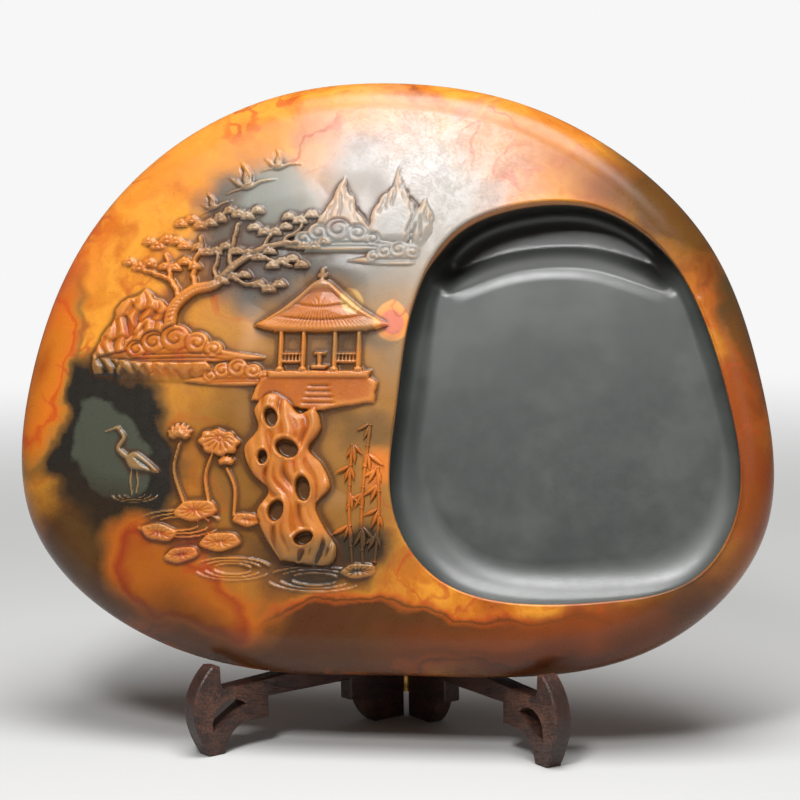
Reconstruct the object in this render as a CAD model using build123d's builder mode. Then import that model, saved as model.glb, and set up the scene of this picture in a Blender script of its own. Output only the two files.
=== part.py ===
"""Large pebble ink stone resting in a folding display stand of two hooked leg boards.

Frame: +Z is up, the floor is z = 0, the stone's face looks towards -Y and leans back.
The origin lies on the floor below the middle of the object. Lengths are millimetres.
"""

import os
from math import cos, radians, sin, tan

from build123d import *

# Stone block
stone_width = 348.0
stone_height = 275.0
front_crown = 32.0
back_crown = 24.0
stone_lean = 16.0
stone_setback = 7.5
front_crown_radius = 1300.0
back_crown_radius = 1500.0
front_rim_radius = 19.0
back_rim_radius = 14.0
outline_shares = (
    (0.0, -0.992),
    (0.323, -0.988),
    (0.697, -0.884),
    (0.973, -0.508),
    (0.959, 0.0),
    (0.828, 0.435),
    (0.589, 0.746),
    (0.304, 0.931),
    (0.0, 0.997),
    (-0.315, 0.965),
    (-0.62, 0.786),
    (-0.859, 0.451),
    (-0.985, 0.0),
    (-0.966, -0.511),
    (-0.677, -0.859),
    (-0.322, -0.987),
)

# Grinding basin and ink pool, cut from the block's face
basin_width = 152.5
basin_height = 180.0
basin_offset_right = 81.5
basin_offset_down = 14.5
grinding_floor_level = 15.0
basin_cove_radius = 7.0
basin_rim_shares = (
    (0.146, 0.984),
    (0.532, 0.783),
    (0.798, 0.405),
    (0.957, -0.04),
    (1.0, -0.5),
    (0.767, -0.85),
    (0.263, -0.98),
    (-0.256, -1.0),
    (-0.72, -0.885),
    (-0.975, -0.588),
    (-0.985, -0.05),
    (-0.905, 0.47),
    (-0.66, 0.855),
    (-0.27, 0.99),
)
pool_floor_level = 3.0
pool_slope_run = 11.0
pool_crest_shares = (
    (-0.87, 0.42),
    (-0.06, 0.69),
    (0.77, 0.42),
)
pool_upper_shares = (
    (0.532, 0.783),
    (0.146, 0.984),
    (-0.27, 0.99),
    (-0.66, 0.855),
)
pool_rim_share = 0.985
pool_foot_share = 0.93

# Leg boards: reaches run along the board from the hinge axis, heights up from the floor, and a
# setback is how far a corner of the foot lies behind the belly's reach
fold_half_angle = 42.0
hinge_setback = 29.5
board_thickness = 8.5
closing_gap = 0.4
board_edge_chamfer = 0.7
leg_height = 104.0
leg_head_drop = 6.0
leg_head_rounding = 5.0
belly_reach = 120.6
belly_height = 22.5
breast_setback = 4.0
breast_height = 34.0
shin_setback = 1.8
shin_height = 12.0
tip_setback = 10.7
tip_height = 41.0
hook_setback = 14.5
hook_height = 40.4
notch_setback = 17.0
notch_height = 30.1
cradle_reach = 70.0
cradle_height = 31.9
upright_foot_height = 46.0
toe_front_setback = 8.0
toe_rear_setback = 16.6
heel_setback = 22.6
heel_height = 10.5
ledge_setback = 27.6
ledge_height = 12.8
step_setback = 40.8
underside_height = 22.6
rear_step_reach = 33.0
rear_ledge_reach = 27.0
rear_heel_reach = 23.5
rear_toe_reach = 18.0
seat_clearance = 0.35
seat_drop_share = 1.0044
back_bearing_share = 0.922

# Half-moon slot through each board's foot
slot_front_setback = 10.3
slot_front_height = 10.9
slot_rear_setback = 27.9
slot_rear_height = 21.2
slot_crown_setback = 14.7
slot_crown_height = 23.0

# Butt hinges let into the boards' rear edges
hinge_height = 24.0
lower_hinge_height = 12.0
upper_hinge_height = 66.0
knuckle_radius = 2.0
leaf_thickness = 1.0
leaf_width = 7.6
leaf_play = 0.1
knuckle_gap = 0.3
knuckle_relief = 0.4
pin_radius = 0.9
pin_play = 0.05
pin_head_radius = 1.6
pin_head_height = 0.9

# Countersunk screws, two in each leaf
screw_head_radius = 1.7
screw_shank_radius = 0.85
screw_length = 8.0
screw_offset = 5.0
screw_spacing = 15.0
screw_hole_play = 0.02

overrun = 5.0

# The foot's corners follow the belly
breast_reach = belly_reach - breast_setback
shin_reach = belly_reach - shin_setback
tip_reach = belly_reach - tip_setback
hook_reach = belly_reach - hook_setback
notch_reach = belly_reach - notch_setback
toe_front_reach = belly_reach - toe_front_setback
toe_rear_reach = belly_reach - toe_rear_setback
heel_reach = belly_reach - heel_setback
ledge_reach = belly_reach - ledge_setback
step_reach = belly_reach - step_setback
slot_front_reach = belly_reach - slot_front_setback
slot_rear_reach = belly_reach - slot_rear_setback
slot_crown_reach = belly_reach - slot_crown_setback

lean_cos = cos(radians(stone_lean))
lean_sin = sin(radians(stone_lean))
fold_cos = cos(radians(fold_half_angle))
fold_sin = sin(radians(fold_half_angle))

# Where the block sits: its lowest skin clears the cradle by the seat clearance
half_width = stone_width / 2
half_height = stone_height / 2
stone_centre_height = cradle_height + seat_clearance + seat_drop_share * half_height * lean_cos
stone_plane = Plane(
    origin=(0, stone_setback, stone_centre_height),
    x_dir=(1, 0, 0),
    z_dir=(0, -lean_cos, lean_sin),
)
basin_plane = stone_plane.shift_origin(
    stone_plane.from_local_coords(Vector(basin_offset_right, -basin_offset_down, 0))
)

# A board's own plane: x runs from the hinge axis to the toe, y is up, z points outwards
leg_plane = Plane(
    origin=(0, hinge_setback, 0),
    x_dir=(-fold_sin, -fold_cos, 0),
    z_dir=(-fold_cos, fold_sin, 0),
)
basin_half = (basin_width / 2, basin_height / 2)
face_axis = Axis(stone_plane.origin, stone_plane.z_dir)
rear_edge = knuckle_radius - leaf_thickness
hinge_bases = {"lower": lower_hinge_height, "upper": upper_hinge_height}


def scaled(shares, width, height, scale=1.0):
    """Turn a table of shares into points of an outline with the given half sizes."""
    return [(x * width * scale, y * height * scale) for x, y in shares]


def upright_reach(height):
    """Distance from the hinge axis to the upright's front edge, which follows the block's back."""
    back_face = stone_setback + (height - stone_centre_height) * tan(radians(stone_lean))
    back_face += back_bearing_share * back_crown / lean_cos
    return (hinge_setback - back_face - seat_clearance) / fold_cos


def bar(plane, near, far, low, high, start, depth):
    """Square block in a board's plane, from near to far, low to high, start to start plus depth."""
    with BuildPart() as block:
        with BuildSketch(plane.offset(start)):
            with Locations(((near + far) / 2, (low + high) / 2)):
                Rectangle(far - near, high - low)
        extrude(amount=depth)
    return block.part


def rod(radius, low, high):
    """Upright cylinder on the hinge axis."""
    with BuildPart() as cylinder:
        with BuildSketch(Plane.XY.offset(low)):
            with Locations((0, hinge_setback)):
                Circle(radius)
        extrude(amount=high - low)
    return cylinder.part


def screw_tool(radius_play):
    """Countersunk screw, or the hole for one, with its head flush with the leaf's outer face."""
    head = screw_head_radius + radius_play
    shank = screw_shank_radius + radius_play
    with BuildPart() as tool:
        with BuildSketch(Plane.XZ):
            with BuildLine():
                Polyline(
                    (0, 0),
                    (head, 0),
                    (shank, leaf_thickness),
                    (shank, screw_length - shank),
                    (0, screw_length),
                    close=True,
                )
            make_face()
        revolve(axis=Axis.Z)
    return tool.part


def screw_places(base):
    """Planes of the two screws in one left leaf, pointing into the board's rear edge."""
    middle = base + hinge_height / 2
    for height in (middle - screw_spacing / 2, middle + screw_spacing / 2):
        origin = leg_plane.from_local_coords(Vector(rear_edge, height, screw_offset))
        yield Plane(origin=origin, z_dir=leg_plane.x_dir)


def screw_set(radius_play):
    """All four screws of the left board as one compound."""
    with BuildPart() as screws:
        for base in hinge_bases.values():
            for place in screw_places(base):
                add(place * screw_tool(radius_play))
    return screws.part


def crescent(level, rim_share):
    """Ink pool outline at one level: the crest arc below, a share of the basin's rim above."""
    drop = (grinding_floor_level - level) / (grinding_floor_level - pool_floor_level)
    corners = [(x, y + pool_slope_run * drop) for x, y in scaled(pool_crest_shares, *basin_half)]
    upper = scaled(pool_upper_shares, *basin_half, rim_share)
    with BuildSketch(basin_plane.offset(level)) as outline:
        with BuildLine():
            ThreePointArc(*corners)
            Spline(corners[-1], *upper, corners[0])
        make_face()
    return outline.sketch


# Cutter for the grinding basin: straight walls over a flat floor with a coved corner
with BuildPart() as basin:
    with BuildSketch(basin_plane.offset(grinding_floor_level)):
        with BuildLine():
            Spline(*scaled(basin_rim_shares, *basin_half), periodic=True)
        make_face()
    extrude(amount=front_crown - grinding_floor_level + overrun)
    fillet(basin.faces().sort_by(face_axis)[0].edges(), basin_cove_radius)

# Cutter for the ink pool: a crescent that slopes down from the crest under the upper rim
with BuildPart() as pool:
    loft([crescent(grinding_floor_level + basin_cove_radius, pool_rim_share),
          crescent(pool_floor_level, pool_foot_share)], ruled=True)

# The carved block: the pebble's outline between two crowned faces with rounded rims, less basin and pool
with BuildPart() as stone:
    with BuildSketch(stone_plane.offset(-back_crown)):
        with BuildLine():
            Spline(*scaled(outline_shares, half_width, half_height), periodic=True)
        make_face()
    extrude(amount=front_crown + back_crown)
    with Locations(stone_plane.offset(front_crown - front_crown_radius)):
        Sphere(front_crown_radius, rotation=(0, 90, 0), mode=Mode.INTERSECT)
    with Locations(stone_plane.offset(back_crown_radius - back_crown)):
        Sphere(back_crown_radius, rotation=(0, -90, 0), mode=Mode.INTERSECT)
    fillet(stone.faces().sort_by(face_axis)[-1].edges(), front_rim_radius)
    fillet(stone.faces().sort_by(face_axis)[0].edges(), back_rim_radius)
    add(basin.part, mode=Mode.SUBTRACT)
    add(pool.part, mode=Mode.SUBTRACT)

# Left leg board: one outline cut through, with the slot, the hinge seats and the screw holes
with BuildPart() as left_leg:
    with BuildSketch(leg_plane.offset(closing_gap / 2)) as leg_outline:
        with BuildLine():
            Line((toe_rear_reach, 0), (toe_front_reach, 0))
            Spline(
                (toe_front_reach, 0),
                (shin_reach, shin_height),
                (belly_reach, belly_height),
                (breast_reach, breast_height),
                (tip_reach, tip_height),
            )
            Line((tip_reach, tip_height), (hook_reach, hook_height))
            Spline(
                (hook_reach, hook_height),
                (notch_reach, notch_height),
                tangents=((-1, -3), (-3, -1)),
            )
            Line((notch_reach, notch_height), (cradle_reach, cradle_height))
            Spline(
                (cradle_reach, cradle_height),
                (upright_reach(upright_foot_height), upright_foot_height),
                tangents=((-1, 0), (-lean_sin, fold_cos * lean_cos)),
            )
            Line(
                (upright_reach(upright_foot_height), upright_foot_height),
                (upright_reach(leg_height), leg_height),
            )
            Line((upright_reach(leg_height), leg_height), (rear_edge, leg_height - leg_head_drop))
            Polyline(
                (rear_edge, leg_height - leg_head_drop),
                (rear_edge, 0),
                (rear_toe_reach, 0),
            )
            ThreePointArc(
                (rear_toe_reach, 0),
                (rear_heel_reach, heel_height / 2),
                (rear_ledge_reach, ledge_height),
            )
            Polyline(
                (rear_ledge_reach, ledge_height),
                (rear_step_reach, ledge_height),
                (rear_step_reach, underside_height),
                (step_reach, underside_height),
                (step_reach, ledge_height),
                (ledge_reach, ledge_height),
            )
            Spline(
                (ledge_reach, ledge_height),
                (heel_reach, heel_height),
                (toe_rear_reach, 0),
            )
        make_face()
        fillet(leg_outline.vertices().sort_by(Axis.Y)[-2:], leg_head_rounding)
    extrude(amount=board_thickness)
    board_faces = left_leg.faces().sort_by(Axis(leg_plane.origin, leg_plane.z_dir))
    chamfer(board_faces[0].edges() + board_faces[-1].edges(), board_edge_chamfer)

    with BuildSketch(leg_plane):
        with BuildLine():
            Line((slot_front_reach, slot_front_height), (slot_rear_reach, slot_rear_height))
            ThreePointArc(
                (slot_rear_reach, slot_rear_height),
                (slot_crown_reach, slot_crown_height),
                (slot_front_reach, slot_front_height),
            )
        make_face()
    extrude(amount=board_thickness + overrun, mode=Mode.SUBTRACT)
    for base in hinge_bases.values():
        seat = bar(
            leg_plane,
            rear_edge - overrun,
            knuckle_radius,
            base - leaf_play,
            base + hinge_height + leaf_play,
            -overrun,
            leaf_width + leaf_play + overrun,
        )
        add(seat, mode=Mode.SUBTRACT)
        relief_top = base + hinge_height + pin_head_height + leaf_play
        add(rod(knuckle_radius + knuckle_relief, base - leaf_play, relief_top), mode=Mode.SUBTRACT)
    add(screw_set(screw_hole_play), mode=Mode.SUBTRACT)

# Right leg board: the left one mirrored
with BuildPart() as right_leg:
    mirror(left_leg.part, about=Plane.YZ)


def leaf(base, own_knuckles, other_knuckles):
    """One left-hand hinge leaf: plate, own knuckles, relief round the other leaf's, bored and drilled."""
    top = base + hinge_height
    with BuildPart() as plate:
        add(bar(leg_plane, rear_edge, knuckle_radius, base, top, 0, leaf_width))
        for low, high in other_knuckles:
            add(rod(knuckle_radius + knuckle_relief, low - knuckle_gap, high + knuckle_gap),
                mode=Mode.SUBTRACT)
        for low, high in own_knuckles:
            add(rod(knuckle_radius, low, high))
        add(rod(pin_radius + pin_play, base - overrun, top + overrun), mode=Mode.SUBTRACT)
        for place in screw_places(base):
            add(place * screw_tool(screw_hole_play), mode=Mode.SUBTRACT)
    return plate.part


pieces = {"stone": stone.part, "left_leg": left_leg.part, "right_leg": right_leg.part}
knuckle_height = (hinge_height - 2 * knuckle_gap) / 3
for name, base in hinge_bases.items():
    low_end = (base, base + knuckle_height)
    middle = (low_end[1] + knuckle_gap, low_end[1] + knuckle_gap + knuckle_height)
    high_end = (middle[1] + knuckle_gap, base + hinge_height)
    pieces[f"{name}_left_leaf"] = leaf(base, (low_end, high_end), (middle,))
    with BuildPart() as right_leaf:
        mirror(leaf(base, (middle,), (low_end, high_end)), about=Plane.YZ)
    pieces[f"{name}_right_leaf"] = right_leaf.part
    with BuildPart() as pin:
        add(rod(pin_radius, base, base + hinge_height))
        add(rod(pin_head_radius, base + hinge_height, base + hinge_height + pin_head_height))
    pieces[f"{name}_pin"] = pin.part

with BuildPart() as left_screws:
    add(screw_set(0))
with BuildPart() as right_screws:
    mirror(left_screws.part, about=Plane.YZ)
pieces["left_screws"] = left_screws.part
pieces["right_screws"] = right_screws.part

os.makedirs("parts", exist_ok=True)
for name, piece in pieces.items():
    piece.label = name
    export_step(piece, f"parts/{name}.step")
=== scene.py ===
"""Visual model of a large carved ink stone leaning on a folding wooden stand.

Every length in the classes below is in millimetres unless its name ends in _m; meshes are
written in metres. A point of the stone is given by (u, v, w): u to the right and v up along the
leaning face, w out of the face, all from the middle of the block.
"""

from __future__ import annotations

import logging
import math
from dataclasses import dataclass, field
from enum import Enum
from typing import Callable, Iterable, Sequence

import bmesh
import bpy
import numpy as np
from mathutils import Matrix, Vector

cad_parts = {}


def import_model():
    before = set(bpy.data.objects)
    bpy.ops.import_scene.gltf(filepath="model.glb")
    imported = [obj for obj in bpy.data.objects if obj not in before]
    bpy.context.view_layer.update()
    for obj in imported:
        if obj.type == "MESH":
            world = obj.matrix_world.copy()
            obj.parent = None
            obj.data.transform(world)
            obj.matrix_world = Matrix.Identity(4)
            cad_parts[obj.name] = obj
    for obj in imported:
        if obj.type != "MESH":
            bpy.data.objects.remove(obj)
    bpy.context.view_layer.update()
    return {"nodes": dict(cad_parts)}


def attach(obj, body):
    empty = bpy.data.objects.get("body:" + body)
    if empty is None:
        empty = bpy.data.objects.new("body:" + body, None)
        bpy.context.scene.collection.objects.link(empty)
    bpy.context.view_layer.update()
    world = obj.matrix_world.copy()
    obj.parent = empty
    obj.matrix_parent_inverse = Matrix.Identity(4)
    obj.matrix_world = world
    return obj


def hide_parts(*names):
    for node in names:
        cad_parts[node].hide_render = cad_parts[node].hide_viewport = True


log = logging.getLogger("ink_stone")

MM = 0.001  # metres in a millimetre
BEYOND = 1000.0  # a distance past every point of the stone
TINY = 1e-9  # keeps a division by a length safe
Array = np.ndarray
Point2 = tuple[float, float]
Point3 = tuple[float, float, float]
Window = tuple[slice, slice]
Colour = tuple[float, float, float]
Stops = tuple[tuple[float, Colour, float], ...]
Socket = bpy.types.NodeSocket


class Slot(Enum):
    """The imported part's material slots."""

    STONE = "ink_stone"
    SCREW = "screw_brass"


class Side(Enum):
    """The stand's two boards, with the sign of their direction along X."""

    LEFT = -1
    RIGHT = 1


def srgb(red: int, green: int, blue: int) -> Colour:
    """Turn display values of 0 to 255 into a linear colour."""
    shares = (c / 255 for c in (red, green, blue))
    return tuple(c / 12.92 if c <= 0.04045 else ((c + 0.055) / 1.055) ** 2.4 for c in shares)


def unit(degrees: float) -> Point2:
    """Cosine and sine of an angle in degrees."""
    return math.cos(math.radians(degrees)), math.sin(math.radians(degrees))


def turned(centre: Point2, turn: float = 0.0, size: float = 1.0) -> Callable[..., Point2]:
    """Make the function that places the points of a motif.

    Args:
        centre: Where the motif's own origin goes.
        turn: Its turn in degrees.
        size: Its scale.

    Returns:
        A function of x and y in the motif that returns the point on the face.
    """
    c, s = unit(turn)

    def at(x: float, y: float) -> Point2:
        return (centre[0] + size * (x * c - y * s), centre[1] + size * (x * s + y * c))

    return at


def smoothstep(low: float | Array, high: float | Array, x: Array) -> Array:
    """Ease from 0 at low to 1 at high.

    Args:
        low: Value that gives 0.
        high: Value that gives 1.
        x: Values to ease.

    Returns:
        The eased values, between 0 and 1.
    """
    t = np.clip((x - low) / (high - low), 0.0, 1.0)
    return t * t * (3.0 - 2.0 * t)


def periodic_spline(points: Sequence[Point2], count: int) -> Array:
    """Closed cubic curve through points, with chord-length parameters.

    Args:
        points: Corners in order; the last joins the first.
        count: Number of points wanted along the curve.

    Returns:
        Array of count rows (x, y), evenly spaced in the curve's parameter.
    """
    p = np.array(points, float)
    n = len(p)
    h = np.linalg.norm(np.roll(p, -1, 0) - p, axis=1)
    before = np.roll(h, 1)
    system = np.zeros((n, n))
    slope = (np.roll(p, -1, 0) - p) / h[:, None]
    for i in range(n):
        system[i, i] += 2 * (before[i] + h[i])
        system[i, (i - 1) % n] += before[i]
        system[i, (i + 1) % n] += h[i]
    bend = np.linalg.solve(system, 6 * (slope - np.roll(slope, 1, 0)))
    knots = np.concatenate([[0.0], np.cumsum(h)])
    t = np.linspace(0.0, knots[-1], count, endpoint=False)
    i = np.clip(np.searchsorted(knots, t, side="right") - 1, 0, n - 1)
    j = (i + 1) % n
    s = (t - knots[i])[:, None]
    r = h[i][:, None] - s
    hi = h[i][:, None]
    return (
        bend[i] * r**3 / (6 * hi)
        + bend[j] * s**3 / (6 * hi)
        + (p[i] / hi - bend[i] * hi / 6) * r
        + (p[j] / hi - bend[j] * hi / 6) * s
    )


def new_mesh(
    name: str, points: Array, faces: Iterable[Sequence[int]], smooth: bool = True
) -> bpy.types.Object:
    """Make a mesh object at the origin.

    Args:
        name: The piece's name.
        points: Rows (x, y, z) in metres.
        faces: Vertex indices of each face, anticlockwise from outside.
        smooth: Whether faces are shaded smooth.

    Returns:
        The new object, linked to the scene.
    """
    mesh = bpy.data.meshes.new(name)
    mesh.from_pydata(points.tolist() if isinstance(points, np.ndarray) else points, [], faces)
    mesh.validate()
    if smooth:
        mesh.shade_smooth()
    return add_object(name, mesh)


def add_object(name: str, data: bpy.types.ID) -> bpy.types.Object:
    """Put a new object with this data in the scene."""
    piece = bpy.data.objects.new(name, data)
    bpy.context.scene.collection.objects.link(piece)
    return piece


def set_attribute(
    piece: bpy.types.Object, name: str, values: Array, kind: str = "FLOAT", domain: str = "POINT"
) -> None:
    """Store values on a piece's mesh as a named attribute.

    Args:
        piece: The piece.
        name: The attribute's name.
        values: One value, or one row of three, per vertex or face.
        kind: FLOAT, BOOLEAN or FLOAT_VECTOR.
        domain: POINT or FACE.
    """
    layer = piece.data.attributes.new(name, kind, domain)
    flat = np.asarray(values, bool if kind == "BOOLEAN" else np.float32).ravel()
    layer.data.foreach_set("vector" if kind == "FLOAT_VECTOR" else "value", flat)


@dataclass(frozen=True)
class Block:
    """Sizes of the stone block and where it stands; the same values as in the part's source."""

    width: float = 348.0
    height: float = 275.0
    front_crown: float = 32.0
    back_crown: float = 24.0
    lean: float = 16.0
    setback: float = 7.5
    centre_height: float = 165.012
    front_radius: float = 1300.0
    back_radius: float = 1500.0
    front_rim: float = 19.0
    back_rim: float = 14.0
    basin_centre: Point2 = (81.5, -14.5)
    basin_half: Point2 = (76.25, 90.0)
    floor_level: float = 15.0
    pool_level: float = 3.0
    outline: tuple[Point2, ...] = (
        (0.0, -0.992), (0.323, -0.988), (0.697, -0.884), (0.973, -0.508), (0.959, 0.0),
        (0.828, 0.435), (0.589, 0.746), (0.304, 0.931), (0.0, 0.997), (-0.315, 0.965),
        (-0.62, 0.786), (-0.859, 0.451), (-0.985, 0.0), (-0.966, -0.511), (-0.677, -0.859),
        (-0.322, -0.987),
    )
    basin_rim: tuple[Point2, ...] = (
        (0.146, 0.984), (0.532, 0.783), (0.798, 0.405), (0.957, -0.04), (1.0, -0.5),
        (0.767, -0.85), (0.263, -0.98), (-0.256, -1.0), (-0.72, -0.885), (-0.975, -0.588),
        (-0.985, -0.05), (-0.905, 0.47), (-0.66, 0.855), (-0.27, 0.99),
    )

    def place(self, u: Array, v: Array, w: Array) -> Array:
        """World points in metres of stone coordinates in millimetres."""
        c, s = unit(self.lean)
        x = u + 0.0 * w
        y = self.setback + v * s - w * c
        z = self.centre_height + v * c + w * s
        return np.stack([x, y, z], -1) * MM

    def swell(self, u: Array, v: Array) -> Array:
        """Slow unevenness of a hand-rubbed face, up to a third of a millimetre."""
        return 0.13 * (
            np.sin(u / 31.0 + 0.6) * np.cos(v / 37.0 - 0.4)
            + np.sin(u / 53.0 - v / 41.0 + 1.3)
            - 0.6
        )

    def dome(self, u: Array, v: Array) -> Array:
        """Height of the front face, without its rim."""
        base = self.front_crown - self.front_radius
        return base + np.sqrt(self.front_radius**2 - u * u - v * v) + self.swell(u, v)

    def outline_points(self, count: int) -> Array:
        """The block's outline as seen square to its face."""
        half = np.array([self.width / 2, self.height / 2])
        return periodic_spline([tuple(p) for p in np.array(self.outline) * half], count)

    def rim_points(self, count: int) -> Array:
        """The basin's rim."""
        pts = np.array(self.basin_rim) * np.array(self.basin_half)
        return periodic_spline([tuple(p) for p in pts], count) + np.array(self.basin_centre)


@dataclass
class CarvedField:
    """A height field over part of the stone's face, on which motifs are cut in low relief.

    Motifs are laid from back to front: a later one covers an earlier one, as a carver's would.
    """

    left: float = -152.0
    right: float = 30.0
    low: float = -112.0
    high: float = 104.0
    step: float = 0.55
    margin: float = 1.5
    foot_fade: float = 9.0
    u: Array = field(init=False)
    v: Array = field(init=False)
    height: Array = field(init=False)
    skin: Array = field(init=False)

    def __post_init__(self) -> None:
        us = np.arange(self.left, self.right + self.step / 2, self.step)
        vs = np.arange(self.low, self.high + self.step / 2, self.step)
        self.u, self.v = np.meshgrid(us, vs)
        self.height = np.zeros_like(self.u)
        self.skin = np.zeros_like(self.u)

    def window(self, points: Array, margin: float) -> Window:
        """Rows and columns that cover points with a margin."""

        def cells(axis: int, start: float, count: int) -> slice:
            first = int((points[:, axis].min() - margin - start) / self.step)
            last = int((points[:, axis].max() + margin - start) / self.step) + 2
            return slice(max(first, 0), max(min(last, count), 1))

        return cells(1, self.low, self.u.shape[0]), cells(0, self.left, self.u.shape[1])

    def area(
        self, points: Sequence[Point2], margin: float
    ) -> tuple[Array, Window, Array, Array]:
        """A motif's points, the window it can touch, and that window's u and v."""
        pts = np.array(points, float)
        win = self.window(pts, margin)
        return pts, win, self.u[win], self.v[win]

    @staticmethod
    def lay(values: Array, win: Window, share: Array, level: Array | float) -> None:
        """Cover a window of values with a level, by a share of 0 to 1."""
        values[win] = values[win] * (1 - share) + level * share

    @staticmethod
    def run_distance(u: Array, v: Array, a: Array, b: Array) -> tuple[Array, Array]:
        """Distance to the straight run from a to b, and the share of it at the nearest point."""
        d = b - a
        t = np.clip(((u - a[0]) * d[0] + (v - a[1]) * d[1]) / max(float(d @ d), TINY), 0, 1)
        return np.hypot(u - a[0] - t * d[0], v - a[1] - t * d[1]), t

    @classmethod
    def line_distance(cls, u: Array, v: Array, points: Array) -> tuple[Array, Array]:
        """Distance to a polyline, and the share of its length at the nearest point."""
        best = np.full(u.shape, BEYOND)
        share = np.zeros(u.shape)
        lengths = np.linalg.norm(np.diff(points, axis=0), axis=1)
        total, run = lengths.sum(), 0.0
        for a, b, length in zip(points[:-1], points[1:], lengths):
            gap, t = cls.run_distance(u, v, a, b)
            near = gap < best
            best = np.where(near, gap, best)
            share = np.where(near, (run + t * length) / total, share)
            run += length
        return best, share

    @classmethod
    def shape_distance(cls, u: Array, v: Array, points: Array) -> Array:
        """Signed distance to a closed shape, negative inside."""
        best = np.full(u.shape, BEYOND)
        inside = np.zeros(u.shape, bool)
        for a, b in zip(points, np.roll(points, -1, 0)):
            best = np.minimum(best, cls.run_distance(u, v, a, b)[0])
            d = b - a
            if d[1] != 0:
                crosses = (a[1] > v) != (b[1] > v)
                inside ^= crosses & (u < a[0] + (v - a[1]) * d[0] / d[1])
        return np.where(inside, -best, best)

    def slab(
        self,
        points: Sequence[Point2],
        rise: float,
        edge: float = 1.6,
        skin: float = 1.0,
        relief: Callable[[Array, Array, Array], Array] | None = None,
        foot: float | None = None,
        crown: float = 0.0,
    ) -> None:
        """Raise a closed shape with rounded shoulders.

        Args:
            points: The shape's corners.
            rise: Height above the ground.
            edge: Width of the rounded shoulder.
            skin: How much of the orange skin is left on it.
            relief: Extra height from (u, v, depth inside the edge).
            foot: Level of v at which the shape has faded into the ground, if it does.
            crown: Extra height in the middle of a broad shape.
        """
        pts, win, u, v = self.area(points, self.margin)
        d = self.shape_distance(u, v, pts)
        t = np.clip(-d / edge, 0, 1)
        body = rise * (0.35 + 0.65 * np.sqrt(1 - (1 - t) ** 2))
        if crown:
            body = body + crown * smoothstep(0.0, 14.0, -d)
        if relief is not None:
            body = body + relief(u, v, -d) * smoothstep(0.0, 1.2, -d)
        cover = smoothstep(0.35, -0.35, d)
        if foot is not None:
            tint = smoothstep(foot, foot + self.foot_fade, v)
            body = body * tint
            cover = cover * smoothstep(foot - 0.5, foot + 1.0, v)
        else:
            tint = 1.0
        self.lay(self.height, win, cover, body)
        self.lay(self.skin, win, cover * tint, skin)

    def ridge(
        self,
        points: Sequence[Point2],
        radii: tuple[float, float],
        rise: float,
        skin: float = 1.0,
        floor: float = 0.0,
    ) -> None:
        """Raise a rounded branch, stem, post or rope along a line.

        Args:
            points: The line.
            radii: Half widths at its start and end.
            rise: Height above floor where it is widest.
            skin: How much of the orange skin is left on it.
            floor: Level that it lies on.
        """
        pts, win, u, v = self.area(points, max(radii) + self.margin)
        d, share = self.line_distance(u, v, pts)
        radius = radii[0] + (radii[1] - radii[0]) * share
        t = np.clip(1 - (d / radius) ** 2, 0, 1)
        body = floor + rise * np.sqrt(radius / max(radii)) * (0.3 + 0.7 * np.sqrt(t))
        cover = smoothstep(0.3, -0.3, d - radius)
        self.lay(self.height, win, cover, np.maximum(self.height[win], body))
        self.lay(self.skin, win, cover, skin)

    def groove(self, points: Sequence[Point2], width: float, depth: float) -> None:
        """Cut a round-bottomed line that thins out at both ends."""
        pts, win, u, v = self.area(points, width * 3)
        d, share = self.line_distance(u, v, pts)
        taper = np.clip(np.minimum(share, 1 - share) * 6, 0.0, 1)
        self.height[win] -= depth * np.exp(-((d / width) ** 2)) * taper

    def dab(
        self, centre: Point2, radii: Point2, rise: float, turn: float = 0.0, skin: float = 1.0
    ) -> None:
        """Raise a small oval lump above what it lies on."""
        win, share = self.oval(centre, radii, turn)
        t = np.clip(1 - share**2, 0, 1)
        cover = smoothstep(0.0, 0.25, t)
        self.height[win] += rise * np.sqrt(t) * cover
        self.lay(self.skin, win, cover, skin)

    def oval(self, centre: Point2, radii: Point2, turn: float) -> tuple[Window, Array]:
        """The window round a turned oval, and in it 0 at the middle rising to 1 at the rim."""
        c, s = unit(turn)
        _, win, u, v = self.area([centre], 2 * max(radii) + self.margin)
        du, dv = u - centre[0], v - centre[1]
        return win, np.hypot((du * c + dv * s) / radii[0], (-du * s + dv * c) / radii[1])

    def sink(self, points: Sequence[Point2], depth: float, blur: float) -> None:
        """Lower the ground smoothly round a group of motifs, before they are cut."""
        pts, win, u, v = self.area(points, blur)
        self.height[win] -= depth * smoothstep(blur, -blur, self.shape_distance(u, v, pts))

    def soften(self, radius: int) -> Array:
        """The heights after a box blur, done three times, for finding hollows and edges."""
        out = self.height
        size = 2 * radius + 1
        for _ in range(3):
            for axis in (0, 1):
                pad = [(0, 0), (0, 0)]
                pad[axis] = (radius + 1, radius)
                total = np.cumsum(np.pad(out, pad, mode="edge"), axis=axis)
                hi = np.take(total, range(size, total.shape[axis]), axis=axis)
                lo = np.take(total, range(0, total.shape[axis] - size), axis=axis)
                out = (hi - lo) / size
        return out


def wobble(points: Sequence[Point2], depth: float, seed: int, splits: int = 3) -> list[Point2]:
    """Roughen a line by moving the middles of its runs.

    Args:
        points: The line's corners.
        depth: Largest sideways move of the first split, as a share of a run.
        seed: Fixes the result.
        splits: How often each run is halved.

    Returns:
        The roughened line.
    """
    rng = np.random.default_rng(seed)
    pts = [np.array(p, float) for p in points]
    for _ in range(splits):
        out = []
        for a, b in zip(pts[:-1], pts[1:]):
            side = np.array([a[1] - b[1], b[0] - a[0]])
            out += [a, (a + b) / 2 + side * rng.uniform(-1, 1) * depth]
        pts = out + [pts[-1]]
    return [tuple(p) for p in pts]


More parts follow.
